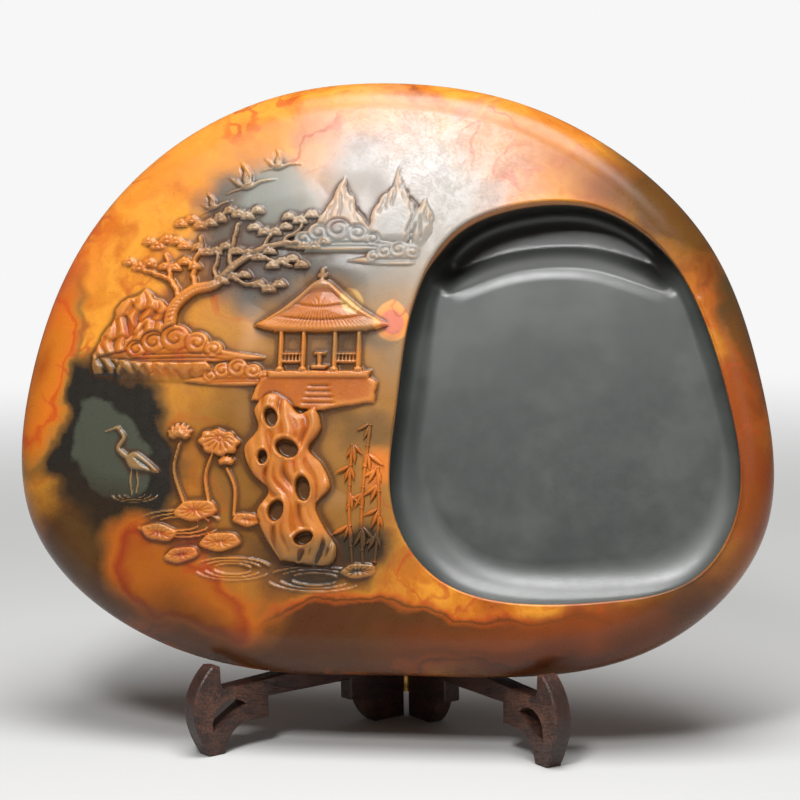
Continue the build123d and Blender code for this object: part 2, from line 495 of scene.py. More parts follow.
def arc_points(
    centre: Point2, radius: Point2, start: float, stop: float, count: int
) -> list[Point2]:
    """Points of an elliptic arc, with angles in degrees."""
    at = turned(centre)
    ways = [unit(a) for a in np.linspace(start, stop, count)]
    return [at(radius[0] * c, radius[1] * s) for c, s in ways]


def smooth_line(points: Sequence[Point2], count: int) -> list[Point2]:
    """Open curve through points, as a Catmull-Rom spline."""
    p = np.array([points[0], *points, points[-1]], float)
    out = []
    runs = len(points) - 1
    for t in np.linspace(0, runs - 1e-6, count):
        i = int(t)
        s = t - i
        a, b, c, d = p[i : i + 4]
        out.append(
            tuple(
                0.5
                * (
                    2 * b + (c - a) * s + (2 * a - 5 * b + 4 * c - d) * s**2
                    + (3 * b - a - 3 * c + d) * s**3
                )
            )
        )
    return out


@dataclass
class Landscape:
    """The low-relief landscape: peaks, cloud, cranes, pine, kiosk, pierced rock and pond."""

    ground: CarvedField
    seed: int = 11

    def cut(self) -> None:
        """Cut every motif, from the farthest to the nearest."""
        self.lower_ground()
        self.far_peaks()
        self.cranes()
        self.cloud_bank((-22.0, 57.0), 1.0, 0.9)
        self.cloud_bank((6.0, 49.0), 0.72, 0.9)
        self.cliff_and_pine()
        self.cloud_bank((-96.0, 6.0), 1.15, 1.6)
        self.cloud_bank((-66.0, -6.0), 0.8, 1.6)
        self.kiosk()
        self.pierced_rock()
        self.pond()
        self.egret()

    def lower_ground(self) -> None:
        """Take the ground down round the groups, so that they stand in their own hollow."""
        g = self.ground
        g.sink([(-46, 54), (-32, 84), (-8, 86), (2, 74), (2, 60), (-10, 50)], 0.7, 7.0)
        g.sink(
            [(-122, 4), (-104, 36), (-86, 64), (-42, 74), (-30, 52), (-60, 18), (-90, -4)], 1.0, 8.0
        )
        g.sink(
            [(-62, -40), (-60, 28), (-38, 42), (-14, 36), (-14, -10), (-16, -58), (-40, -62)], 1.0,
            8.0,
        )
        g.sink(
            [(-104, -78), (-100, -36), (-70, -26), (-56, -60), (-22, -72), (-24, -92), (-60, -94)],
            0.9, 7.0,
        )

    def far_peaks(self) -> None:
        """Three sharp distant peaks with cut faces, fading into the cloud at their feet."""
        g = self.ground
        peaks = (
            ((-42, 50), (-33, 66), (-27, 76), (-21, 88), (-16, 77), (-9, 64), (-2, 50)),
            ((-16, 50), (-8, 66), (-1, 80), (4, 93), (9, 79), (15, 67), (22, 50)),
            ((4, 50), (9, 60), (14, 73), (17, 77), (20, 70), (23, 60), (23, 50)),
        )
        for k, outline in enumerate(peaks):
            rough = wobble(outline, 0.12, self.seed + k)
            top = max(outline, key=lambda p: p[1])
            g.slab(rough, 1.5 - 0.25 * k, edge=2.2, skin=0.35, foot=52.0)
            for j in range(7):
                start = (top[0] + (j - 3) * 1.9, top[1] - 3.5 - abs(j - 3) * 3.6)
                end = (start[0] + (j - 3) * 1.5 + 1.0, start[1] - 9 - 2 * (j % 3))
                g.groove(wobble([start, end], 0.10, self.seed + 10 * k + j), 0.55, 0.55)

    def cranes(self) -> None:
        """Three cranes on the wing above the pine."""
        for centre, size, tilt in (
            ((-66, 84), 1.0, 14), ((-52, 93), 0.78, 8), ((-82, 74), 0.66, 22)
        ):
            self.crane(centre, size, tilt)

    def crane(self, centre: Point2, size: float, tilt: float) -> None:
        """One flying crane, seen from the side.

        Args:
            centre: Middle of its body.
            size: Share of the full size.
            tilt: Climb in degrees.
        """
        at = turned(centre, tilt, size)
        g = self.ground
        far_wing = [
            at(-1.5, 0.6), at(-4.5, 4.6), at(-8.5, 6.6), at(-7.0, 4.0), at(-5.0, 1.2),
            at(-2.4, -0.2),
        ]
        near_wing = [
            at(1.8, 0.8), at(2.6, 5.0), at(1.2, 9.6), at(-1.6, 12.2), at(-1.0, 8.0), at(-2.2, 4.0),
            at(-2.0, 0.4),
        ]
        g.slab(far_wing, 0.8, edge=0.8, skin=0.5)
        g.slab(near_wing, 1.15, edge=0.9, skin=0.5)
        for k in range(4):
            g.groove([at(1.2 - k * 0.9, 2.2 + k * 0.4), at(0.6 - 0.9 * k, 7.4 + k)], 0.3, 0.45)
            g.groove(
                [at(-3.0 - k * 0.9, 1.8 + k * 0.5), at(-4.2 - k * 1.0, 4.4 + k * 0.6)], 0.28, 0.35
            )
        g.dab(centre, (4.2 * size, 1.5 * size), 1.1, tilt, 0.5)
        g.ridge([at(3.0, 0.2), at(6.0, 0.9), at(9.2, 0.5)], (0.85 * size, 0.55 * size), 1.0, 0.5)
        g.dab(at(9.8, 0.5), (1.0 * size, 0.75 * size), 0.5, tilt, 0.5)
        g.ridge([at(10.2, 0.4), at(13.0, -0.2)], (0.5 * size, 0.22), 0.7, 0.5)
        g.ridge([at(-3.6, -0.2), at(-8.0, -0.4), at(-11.0, -1.0)], (0.5 * size, 0.3), 0.7, 0.5)

    def cloud_bank(self, centre: Point2, size: float, rise: float) -> None:
        """A bank of scroll-headed cloud: lobes over a long tail, each lobe with its spiral line.

        Args:
            centre: Middle of the bank.
            size: Share of the full size.
            rise: Height above the ground.
        """
        g = self.ground
        lobes = ((-17, 1.5, 4.4), (-10, 4.4, 5.4), (-1, 5.8, 6.4), (8, 3.9, 5.2), (15, 1.2, 4.0))
        tail = [
            (-33, -1.4), (-24, 0.6), (-12, 2.2), (10, 2.4), (22, 0.4), (36, -2.2), (24, -3.4),
            (4, -4.2), (-16, -3.6),
        ]

        at = turned(centre, size=size)
        body = smooth_line([at(*p) for p in (*tail, tail[0])], 60)[:-1]
        g.slab(body, rise * 0.75, edge=1.4, skin=0.9)
        for x, y, r in lobes:
            ring = arc_points(at(x, y), (r * size, r * size * 0.86), 0, 360, 41)[:-1]
            g.slab(ring, rise, edge=2.0, skin=0.9)
        for k, (x, y, r) in enumerate(lobes):
            turn = 1 if k < 3 else -1
            spiral = []
            for t in np.linspace(0, 1, 36):
                reach, way = (0.74 - 0.62 * t) * r, 7.6 * t + 0.3
                spiral.append(
                    at(x + turn * reach * math.cos(way), y + 0.82 * reach * math.sin(way))
                )
            g.groove(spiral, 0.5, 0.62 * min(rise, 1.1))
        for y in (-0.6, -2.2):
            g.groove(
                smooth_line([at(-22, y - 0.4), at(-6, y), at(10, y + 0.1), at(24, y - 1.0)], 20),
                0.45, 0.5,
            )

    def cliff_and_pine(self) -> None:
        """A ledged cliff at the left with an old pine leaning out from it."""
        g = self.ground
        ledges = (
            (
                [
                    (-136, -4), (-133, 14), (-124, 30), (-113, 36), (-104, 30), (-100, 18),
                    (-92, 10), (-90, -6),
                ],
                1.7,
            ),
            ([(-126, -6), (-121, 12), (-112, 22), (-103, 20), (-96, 8), (-84, 2), (-80, -8)], 2.3),
            ([(-112, -8), (-106, 4), (-98, 9), (-88, 4), (-78, -2), (-72, -9)], 2.9),
        )
        for k, (outline, rise) in enumerate(ledges):
            g.slab(
                wobble(outline, 0.16, self.seed + 40 + k), rise, edge=1.5, foot=-8.0,
                relief=self.facets(k),
            )
        self.pine_trunk()
        pads = (
            ((-104, 57), 11.0), ((-88, 66), 12.0), ((-70, 70), 11.0), ((-55, 62), 10.0),
            ((-41, 68), 8.0), ((-97, 46), 9.5), ((-80, 53), 11.0), ((-62, 51), 10.0),
            ((-46, 47), 9.0), ((-117, 47), 7.5), ((-34, 55), 7.0), ((-71, 40), 7.5),
            ((-54, 36), 7.0),
        )
        for k, (centre, width) in enumerate(pads):
            self.needle_pad(centre, width, 1.7 + 0.35 * (k % 3))

    def facets(self, seed: int) -> Callable[[Array, Array, Array], Array]:
        """Cut planes of rock: long upright flutes broken by a few uneven ledges."""

        def cut(u: Array, v: Array, depth: Array) -> Array:
            bend = 0.55 * np.sin(v * 0.13 + seed) + 0.22 * np.sin(v * 0.37 + u * 0.11)
            flutes = np.abs(((u * 0.17 + v * 0.035 + bend) % 1.0) - 0.5)
            steps = (v * 0.105 + 0.42 * np.sin(u * 0.16 + 2 * seed) + 0.18 * np.sin(u * 0.53)) % 1.0
            return 2.0 * (flutes - 0.25) + 0.75 * (smoothstep(0.0, 0.16, steps) * (1 - steps) - 0.4)

        return cut

    def pine_trunk(self) -> None:
        """The pine's trunk and boughs, with scaly bark."""
        g = self.ground
        trunk = smooth_line(
            [(-100, 12), (-99, 26), (-90, 35), (-79, 38), (-70, 47), (-58, 54), (-46, 57)], 40
        )
        boughs = (
            ([(-96, 31), (-101, 40), (-104, 52)], 1.5), ([(-89, 36), (-90, 48), (-88, 60)], 1.4),
            ([(-79, 39), (-80, 46), (-79, 52)], 1.2), ([(-72, 45), (-72, 56), (-70, 66)], 1.3),
            ([(-58, 54), (-56, 58), (-54, 62)], 1.0), ([(-76, 41), (-66, 38), (-56, 36)], 1.0),
            ([(-62, 51), (-52, 48), (-44, 46)], 1.0), ([(-101, 40), (-110, 44), (-116, 46)], 1.0),
            ([(-48, 57), (-42, 62), (-40, 66)], 0.9), ([(-46, 57), (-39, 56), (-34, 55)], 0.9),
        )
        for k, (line, radius) in enumerate(boughs):
            g.ridge(wobble(line, 0.14, self.seed + 60 + k), (radius, radius * 0.6), 2.0)
        g.ridge(trunk, (3.3, 1.2), 2.9)
        for k, (x, y) in enumerate(trunk[1:30]):
            for side in (-1, 1):
                shift = side * (1.1 - 0.02 * k)
                scale = arc_points((x + shift * 0.4, y - shift), (0.9, 0.9), 20, 200, 7)
                g.groove(scale, 0.22, 0.5)

    def needle_pad(self, centre: Point2, width: float, rise: float) -> None:
        """One flat-bottomed pad of needles: overlapping fans, each scored from its foot.

        Args:
            centre: Middle of the pad's foot.
            width: Half its width.
            rise: Height above the ground.
        """
        g = self.ground
        count = max(int(width / 2.1), 3)
        for k in range(count):
            x = centre[0] + (k - (count - 1) / 2) * 2 * width / count
            y = centre[1] + 1.6 * math.sin(2.1 * k + centre[0])
            radius = 3.5 - 0.9 * abs(k - (count - 1) / 2) / count
            fan: list[Point2] = []
            for j, a in enumerate(np.linspace(-12, 192, 35)):
                (c, s), r = unit(a), radius * (1.10 if j % 2 else 0.92)
                fan.append((x + r * c, y + 0.92 * r * s))
            g.slab(fan, rise + 0.25 * math.sin(5.0 * k), edge=1.2)
            for a in np.linspace(0, 180, 12):
                c, s = unit(a)
                needle = [(x + 0.7 * c, y + 0.6 * s), (x + radius * c, y + 0.9 * radius * s)]
                g.groove(needle, 0.26, 0.75)

    def kiosk(self) -> None:
        """An open thatched kiosk on a stone terrace."""
        g = self.ground
        terrace = [(-60, -16), (-56, -6), (-44, -3), (-8, -3), (-2, -8), (-3, -17), (-30, -21)]
        g.slab(wobble(terrace, 0.06, 5), 1.5, edge=1.2)
        g.slab([(-52, -6), (-6, -6), (-5, -2.5), (-53, -2.5)], 2.4, edge=0.8)
        for x in (-47, -36.5, -22.0, -11.0):
            g.ridge([(x, -3), (x, 17)], (1.15, 1.05), 2.0)
            g.slab([(x - 2, -3), (x + 2, -3), (x + 1.6, -1), (x - 1.6, -1)], 2.8, edge=0.7)
        for y in (1.6, 5.2):
            for start, end in ((-47, -36.5), (-22, -11)):
                g.ridge([(start, y), (end, y)], (0.5, 0.5), 1.3)
        for x in (*np.arange(-45, -37, 1.7), *np.arange(-20, -12, 1.7)):
            g.ridge([(x, 1.6), (x, 5.2)], (0.35, 0.35), 1.1)
        g.slab([(-51, 15), (-7, 15), (-8, 18), (-50, 18)], 2.1, edge=0.8)
        eave = smooth_line(
            [
                (-60, 18.5), (-54, 16.2), (-44, 15.4), (-29, 15.0), (-14, 15.4), (-4, 16.2),
                (2, 18.5),
            ],
            40,
        )
        roof = eave + [
            (-3, 21), (-11, 26), (-19, 32.5), (-25, 38), (-29, 40), (-33, 38), (-39, 32.5),
            (-47, 26), (-55, 21),
        ]
        g.slab(roof, 2.9, edge=2.0, crown=0.5)
        for x in np.linspace(-57, -1, 29):
            foot = 16.0 + 2.2 * abs((x + 29) / 28) ** 3
            top = (-29 + (x + 29) * 0.10, 36.5)
            straw = smooth_line([top, ((x - 29) / 2, 24.5 + foot * 0.08), (x, foot)], 9)
            g.groove(straw, 0.34, 0.75)
        for level, half in ((21.5, 22.0), (27.5, 14.0)):
            ends = (-29 - half, level + 0.8), (-29 + half, level + 0.8)
            g.groove(smooth_line([ends[0], (-29, level - 1.2), ends[1]], 15), 0.45, 0.6)
        g.dab((-29, 41), (2.6, 1.8), 2.2)
        g.dab((-29, 43.5), (1.3, 1.7), 1.8)
        g.slab([(-32.5, -2), (-25.5, -2), (-25, 0), (-33, 0)], 2.2, edge=0.5)
        g.slab([(-31.5, 4.6), (-26.5, 4.6), (-26.5, 6.0), (-31.5, 6.0)], 1.6, edge=0.6)
        g.ridge([(-29, 0), (-29, 4.8)], (0.9, 1.1), 1.4)
        for k in range(4):
            y = -9.5 - 2.6 * k
            g.groove([(-34 - k, y), (-23 + k, y)], 0.4, 0.7)

    def pierced_rock(self) -> None:
        """The tall water-worn garden rock, pierced and folded, the nearest mass."""
        g = self.ground
        outline = [
            (-44, -88), (-52, -76), (-55, -66), (-50, -57), (-58, -49), (-62, -38), (-56, -29),
            (-58, -20), (-51, -13), (-43, -16), (-37, -22), (-30, -20), (-27, -29), (-32, -38),
            (-26, -45), (-22, -55), (-28, -63), (-24, -73), (-18, -82), (-22, -90),
        ]
        body = smooth_line(outline + [outline[0]], 140)[:-1]
        g.slab(body, 3.6, edge=3.2, crown=1.2, relief=self.folds)
        holes = (
            ((-50, -24), (3.0, 4.4), 15), ((-42, -38), (5.4, 4.0), -25),
            ((-34, -56), (3.4, 5.6), 10), ((-46, -66), (3.6, 4.8), -20),
            ((-53, -42), (2.2, 3.2), 0), ((-33, -78), (4.4, 3.0), 20),
        )
        for centre, radii, turn in holes:
            self.hole(centre, radii, turn)

    @staticmethod
    def folds(u: Array, v: Array, depth: Array) -> Array:
        """Flowing folds worn by water, running up the rock."""
        phase = 0.55 * u + 1.6 * np.sin(0.11 * v + 0.6) + 0.9 * np.sin(0.23 * v - 0.15 * u)
        return 0.65 * np.sin(phase) + 0.3 * np.sin(2.3 * phase + 0.2 * v) - 0.2

    def hole(self, centre: Point2, radii: Point2, turn: float) -> None:
        """A worn hole with a raised lip.

        Args:
            centre: Middle of the hole.
            radii: Half sizes across and along it.
            turn: Its slant in degrees.
        """
        g = self.ground
        win, r = g.oval(centre, radii, turn)
        inside = smoothstep(1.08, 0.86, r)
        g.lay(g.height, win, inside, -0.6)
        g.lay(g.skin, win, inside, 0.0)
        g.height[win] += 0.5 * np.exp(-(((r - 1.22) / 0.14) ** 2))

    def pond(self) -> None:
        """Lotus leaves and flowers at the lower left, and rings on the water round them."""
        g = self.ground
        for centre, radii in (
            ((-92, -72), (20, 6)), ((-28, -96), (22, 5.5)), ((-66, -92), (18, 5))
        ):
            for k in range(3):
                shape = (radii[0] * (1 - 0.25 * k), radii[1] * (1 - 0.25 * k))
                for start in (20, 200):
                    g.ridge(
                        arc_points(centre, shape, start, start + 130, 26), (0.42, 0.3), 0.7, 0.4
                    )
        leaves = (
            ((-84, -66), (10.0, 4.6), 6), ((-101, -76), (8.5, 3.8), -8),
            ((-72, -80), (9.5, 4.2), 4), ((-90, -86), (8.0, 3.4), 10), ((-60, -70), (6.5, 3.0), -5),
            ((-8, -92), (8.0, 3.4), 5),
        )
        for centre, radii, turn in leaves:
            self.lotus_leaf(centre, radii, turn)
        stems = (
            [(-78, -62), (-80, -50), (-76, -38)], [(-90, -62), (-95, -48), (-93, -36)],
            [(-66, -68), (-66, -56), (-70, -47)],
        )
        for line in stems:
            g.ridge(smooth_line(line, 14), (0.7, 0.55), 1.4)
        self.standing_leaf((-74, -35), (9.5, 6.2), -8)
        self.lotus_flower((-93, -33), 6.6)
        self.lotus_flower((-70.5, -45), 4.4)

    @staticmethod
    def leaf_ring(
        radii: Point2, count: int, wave: Callable[[float], float]
    ) -> list[Point2]:
        """Points round a leaf's own middle, drawn in or out by a wave of the angle."""
        angles = np.linspace(0, 2 * math.pi, count + 1)[:-1]
        return [
            (radii[0] * wave(a) * math.cos(a), radii[1] * wave(a) * math.sin(a)) for a in angles
        ]

    def lotus_leaf(self, centre: Point2, radii: Point2, turn: float) -> None:
        """A floating leaf seen nearly edge on, with veins from its middle."""
        g = self.ground
        at = turned(centre, turn)
        rim = self.leaf_ring(radii, 48, lambda a: 1 + 0.05 * math.sin(5 * a + centre[0]))
        g.slab([at(*p) for p in rim], 1.5, edge=1.1)
        for tip in self.leaf_ring(radii, 11, lambda a: 0.88):
            g.groove([centre, at(*tip)], 0.34, 0.5)

    def standing_leaf(self, centre: Point2, radii: Point2, turn: float) -> None:
        """A leaf held up on its stem, with a rolled, scalloped rim."""

        def scallops(a: float) -> float:
            return 1 + 0.07 * math.sin(8 * a) - 0.12 * max(0.0, math.sin(a)) ** 2

        g = self.ground
        at = turned(centre, turn)
        rim = self.leaf_ring(radii, 64, scallops)
        g.slab([at(*p) for p in rim], 2.3, edge=1.4, crown=0.4)
        hub = (centre[0] + 0.5, centre[1] + 1.6)
        for x, y in self.leaf_ring(radii, 13, lambda a: 0.84):
            bend, tip = (hub[0] + 0.5 * x, hub[1] + 0.6 * y), (centre[0] + x, centre[1] + y)
            g.groove(smooth_line([hub, bend, tip], 8), 0.36, 0.7)
        g.dab(hub, (1.2, 0.8), 0.5)

    def lotus_flower(self, centre: Point2, size: float) -> None:
        """An open flower: back petals, front petals and the pod between them.

        Args:
            centre: Foot of the petals.
            size: Length of a petal.
        """
        g = self.ground
        rows = (
            ((-62, -38, -14, 14, 38, 62), 1.0, 1.5),
            ((-80, -50, -22, 0, 22, 50, 80), 0.82, 2.1),
            ((-58, -28, 0, 28, 58), 0.6, 2.7),
        )
        for angles, share, rise in rows:
            for a in sorted(angles, key=abs, reverse=True):
                at = turned(centre, 90 - a, size * share)
                petal = [at(0, 0), at(0.55, 0.22), at(1, 0), at(0.55, -0.22), at(0, 0)]
                g.slab(smooth_line(petal, 24)[:-1], rise, edge=0.9)
                g.groove([at(0.55, 0), at(1, 0)], 0.22, 0.35)

    def egret(self) -> None:
        """A wading bird at the pond's far edge."""
        g = self.ground
        at = turned((-116.0, -44.0))
        for leg in (((1, -2), (0.5, -9), (1.5, -15)), ((3, -2), (4, -9), (3.5, -14))):
            g.ridge(smooth_line([at(*p) for p in leg], 10), (0.45, 0.35), 1.0, 0.2)
        wing = ((-3, 2), (2, 4.5), (8, 1), (14, -5), (6, -4), (0, -3), (-3, 2))
        g.slab(smooth_line([at(*p) for p in wing], 36)[:-1], 1.8, edge=1.3, skin=0.3, crown=0.4)
        for k in range(5):
            feather = (1 + k, 2.6 - k), (5 + k, 0.6 - k), (10 + 0.5 * k, -3.2 - 0.4 * k)
            g.groove(smooth_line([at(*p) for p in feather], 9), 0.3, 0.5)
        neck = ((-1.5, 2), (-6, 6), (-3.6, 11), (-6.4, 15))
        g.ridge(smooth_line([at(*p) for p in neck], 24), (1.4, 0.8), 1.7, 0.3)
        g.dab(at(-7, 15.6), (1.7, 1.1), 0.8, -12, 0.3)
        g.ridge([at(-8, 15.4), at(-13, 13.8)], (0.6, 0.25), 1.0, 0.4)
        for k in range(3):
            ripple = arc_points(at(2.5, -15), (5 + 3 * k, 1.6 + 0.9 * k), 190, 350, 18)
            g.ridge(ripple, (0.35, 0.25), 0.55, 0.1)


@dataclass
class Stone:
    """The block in the scene: a dense closed body, and the carved face let into it."""

    block: Block = field(default_factory=Block)
    columns: int = 540
    floor_rows: int = 12
    slope_rows: int = 14
    cove_rows: int = 12
    wall_rows: int = 5
    front_rows: int = 76
    rim_rows: int = 12
    side_rows: int = 4
    back_rows: int = 16
    outline_samples: int = 4000
    lip: float = 0.9
    lip_rows: int = 3
    inset: float = 0.12
    face_gap: float = 0.05
    face_fade: float = 5.0
    face_sink: float = 6.0
    face_sink_band: Point2 = (6.0, 13.0)
    face_depth: float = 3.0
    face_hub: Point2 = (-60.0, 0.0)
    crease_reach: int = 2
    hollow_reach: int = 7
    pool_crest: tuple[Point2, ...] = (
        (-8.0, 2.0), (2.0, 14.0), (12.0, 24.0), (22.9, 32.4), (33.8, 38.0), (52.8, 44.6),
        (71.9, 47.2), (91.0, 46.3), (110.4, 40.7), (125.3, 34.3), (138.0, 24.0), (150.0, 10.0),
        (160.0, -4.0),
    )
    face_outline: tuple[Point2, ...] = (
        (-147, -10), (-143, 30), (-126, 60), (-100, 84), (-66, 101), (-24, 105), (12, 101),
        (26, 91), (28, 76), (20, 59), (13, 42), (7.5, 18), (3.5, -16), (1.0, -50), (1.0, -76),
        (2, -92), (-12, -106), (-52, -108), (-96, -98), (-124, -76), (-140, -46),
    )
    # Per basin ring: painted shade where above 0, painted highlight where below 0.
    ink: list[Array] = field(default_factory=list)

    def face_distance(self, u: Array, v: Array) -> Array:
        """Signed distance to the edge of the carved part of the face, negative inside it."""
        ring = periodic_spline(self.face_outline, 160)
        return CarvedField.shape_distance(u, v, ring)

    def polar(self, line: Array) -> tuple[Array, Array]:
        """Angles about the basin's middle, rising, and the distances of a line at them."""
        d = line - np.array(self.block.basin_centre)
        angle = np.arctan2(d[:, 1], d[:, 0])
        order = np.argsort(angle)
        return angle[order], np.hypot(d[:, 0], d[:, 1])[order]

    def body(self) -> bpy.types.Object:
        """Build the block as one closed mesh of rings, from the basin's floor round to the back.

        Returns:
            The body, with the attribute slate on the basin's cut surface.
        """
        b = self.block
        centre = np.array(b.basin_centre)
        edge = b.outline_points(self.outline_samples) * (1 - 2 * self.inset / b.height)
        edge = np.concatenate([edge, edge[:1]])
        run = np.concatenate([[0], np.cumsum(np.linalg.norm(np.diff(edge, axis=0), axis=1))])
        even = np.linspace(0, run[-1], self.columns, endpoint=False)
        outer = np.stack([np.interp(even, run, edge[:, axis]) for axis in (0, 1)], -1)
        along = np.roll(outer, -1, 0) - np.roll(outer, 1, 0)
        normal = np.stack([along[:, 1], -along[:, 0]], -1) / np.linalg.norm(along, axis=1)[:, None]
        ray = outer - centre
        angle = np.arctan2(ray[:, 1], ray[:, 0])
        way = ray / np.linalg.norm(ray, axis=1)[:, None]
        rim = np.interp(angle, *self.polar(b.rim_points(3000)), period=2 * math.pi)
        rows: list[tuple[Array, Array, float]] = []
        self.basin_rows(rows, centre, way, angle, rim)
        lips = centre + way * (rim + self.lip)[:, None]
        self.front_and_back_rows(rows, lips, outer, normal)
        return self.assemble(rows, centre)

    def basin_rows(
        self, rows: list, centre: Array, way: Array, angle: Array, rim: Array
    ) -> None:
        """Add the rings of the floor, the slope into the pool, the cove, the wall and the lip.

        Args:
            rows: The rings so far, each with its points, heights and share of cut slate.
            centre: The basin's middle.
            way: Direction of each column from the middle.
            angle: The same as an angle.
            rim: Distance of the basin's rim in each column.
        """

        def ring(radius: Array, height: Array, cut: float = 1.0) -> None:
            rows.append((centre + way * radius[:, None], height, cut))

        b = self.block
        up = smoothstep(0.30, 0.92, np.sin(angle))
        low = smoothstep(0.15, 0.95, -np.sin(angle))
        left = smoothstep(0.2, 0.95, -np.cos(angle))
        cove = 8.0 + 11.0 * low + 4.0 * left * (1 - up) - 2.0 * up
        foot = rim - cove
        crest = self.crest_distance(angle)
        pool = smoothstep(3.0, 15.0, foot - crest)
        turn = np.minimum(crest, foot - 3.0)
        drop = (b.floor_level - b.pool_level) * pool
        run = np.maximum(foot - turn, 2.0)
        for k in range(1, self.floor_rows + 1):
            r = turn * (k / self.floor_rows)
            ring(r, b.floor_level - 0.5 + 0.5 * smoothstep(0.0, 1.0, r / foot))
            self.ink.append(np.zeros(len(angle)))
        for k in range(1, self.slope_rows + 1):
            t = k / self.slope_rows
            s = np.clip(run * t / np.minimum(13.0, run), 0, 1)
            fall = 0.45 * s + 0.55 * smoothstep(0.0, 1.0, s)
            ring(turn + run * t, b.floor_level - drop * fall)
            # Painted highlight (glint) on the slope just below the crest, painted shade deeper in
            # the pool.
            glint = 1.3 * math.exp(-(((t - 0.24) / 0.2) ** 2))
            self.ink.append(pool * (smoothstep(0.5, 0.95, t) - glint))
        base = b.floor_level - drop
        edge = centre + way * rim[:, None]
        top = b.dome(edge[:, 0], edge[:, 1]) - self.lip
        depth = np.minimum(cove * (1.0 - 0.15 * up), (top - base) * (0.9 - 0.25 * left * (1 - low)))
        for k in range(1, self.cove_rows + 1):
            t = k / self.cove_rows
            a = 0.5 * math.pi * t
            ring(foot + cove * math.sin(a), base + depth * (1 - math.cos(a)))
            # Painted shade in the pool and on the left wall, less a painted highlight along the
            # bottom cove.
            painted_shading = np.maximum(pool, 0.5 * left * (1 - low) * smoothstep(0.3, 1.0, t))
            self.ink.append(painted_shading - 0.62 * low * math.exp(-(((t - 0.45) / 0.28) ** 2)))
        for k in range(1, self.wall_rows + 1):
            t = k / self.wall_rows
            ring(rim, (base + depth) * (1 - t) + top * t, 1.0 - 0.9 * t)
            # Painted shade on the pool's wall and on the left wall, fading towards the rim.
            self.ink.append(np.maximum(pool, 0.75 * left) * (1 - 0.4 * t))
        for k in range(1, self.lip_rows + 1):
            a = 0.5 * math.pi * k / self.lip_rows
            ring(rim + self.lip * (1 - math.cos(a)), top + self.lip * math.sin(a) * 0.98, 0.0)

    def crest_distance(self, angle: Array) -> Array:
        """Distance from the basin's middle to the line where its floor breaks into the pool."""
        line = np.array(smooth_line(self.pool_crest, 200))
        return np.interp(angle, *self.polar(line), left=BEYOND, right=BEYOND)

    def front_and_back_rows(self, rows: list, lips: Array, outer: Array, normal: Array) -> None:
        """Add the rings of the face, the rounded rims, the side and the back."""
        b = self.block
        ray = outer - lips
        length = np.linalg.norm(ray, axis=1)
        slant = np.clip(np.sum(ray / length[:, None] * normal, axis=1), 0.5, 1)
        inner = outer - normal * b.front_rim
        axis = b.front_crown - b.front_radius
        ball = axis + np.sqrt((b.front_radius - b.front_rim) ** 2 - (inner**2).sum(1))
        lean = np.arctan2(ball - axis, np.sum(inner * normal, axis=1))
        reach = np.minimum(b.front_rim * (1 - np.cos(lean)), length * slant * 0.985)
        start = np.arccos(1 - reach / b.front_rim)
        join = outer - ray * (reach / (length * slant))[:, None]
        lip_height = rows[-1][1]
        join_height = np.where(
            reach >= b.front_rim * (1 - np.cos(lean)) - 1e-6,
            b.dome(join[:, 0], join[:, 1]),
            ball + b.front_rim * np.sin(start),
        )
        for k in range(1, self.front_rows + 1):
            t = k / self.front_rows
            p = lips + (join - lips) * t
            w = b.dome(p[:, 0], p[:, 1])
            w = w + (join_height - b.dome(join[:, 0], join[:, 1])) * t
            w = w + (lip_height - b.dome(lips[:, 0], lips[:, 1])) * max(0.0, 1 - 12 * t)
            inside = -self.face_distance(p[:, 0], p[:, 1])
            rows.append((p, w - self.face_sink * smoothstep(*self.face_sink_band, inside), 0.0))
        offset = join_height - (ball + b.front_rim * np.sin(start))
        for k in range(1, self.rim_rows + 1):
            a = start * (1 - k / self.rim_rows)
            e = b.front_rim * (1 - np.cos(a))
            p = outer - ray * (e / (length * slant))[:, None]
            rows.append((p, ball + b.front_rim * np.sin(a) + offset * a / start, 0.0))
        back_axis = b.back_radius - b.back_crown
        inner = outer - normal * b.back_rim
        back_ball = back_axis - np.sqrt((b.back_radius - b.back_rim) ** 2 - (inner**2).sum(1))
        for k in range(1, self.side_rows):
            t = k / self.side_rows
            rows.append((outer, ball * (1 - t) + back_ball * t, 0.0))
        stop = np.arctan2(back_axis - back_ball, np.sum(inner * normal, axis=1))
        for k in range(self.rim_rows + 1):
            a = stop * k / self.rim_rows
            p = inner + normal * (b.back_rim * np.cos(a))[:, None]
            rows.append((p, back_ball - b.back_rim * np.sin(a), 0.0))
        last, height = rows[-1][0], rows[-1][1]
        true = back_axis - np.sqrt(b.back_radius**2 - (last**2).sum(1))
        for k in range(1, self.back_rows):
            t = 1 - k / self.back_rows
            p = last * t
            w = back_axis - np.sqrt(b.back_radius**2 - (p**2).sum(1)) + (height - true) * t
            rows.append((p, w, 0.0))

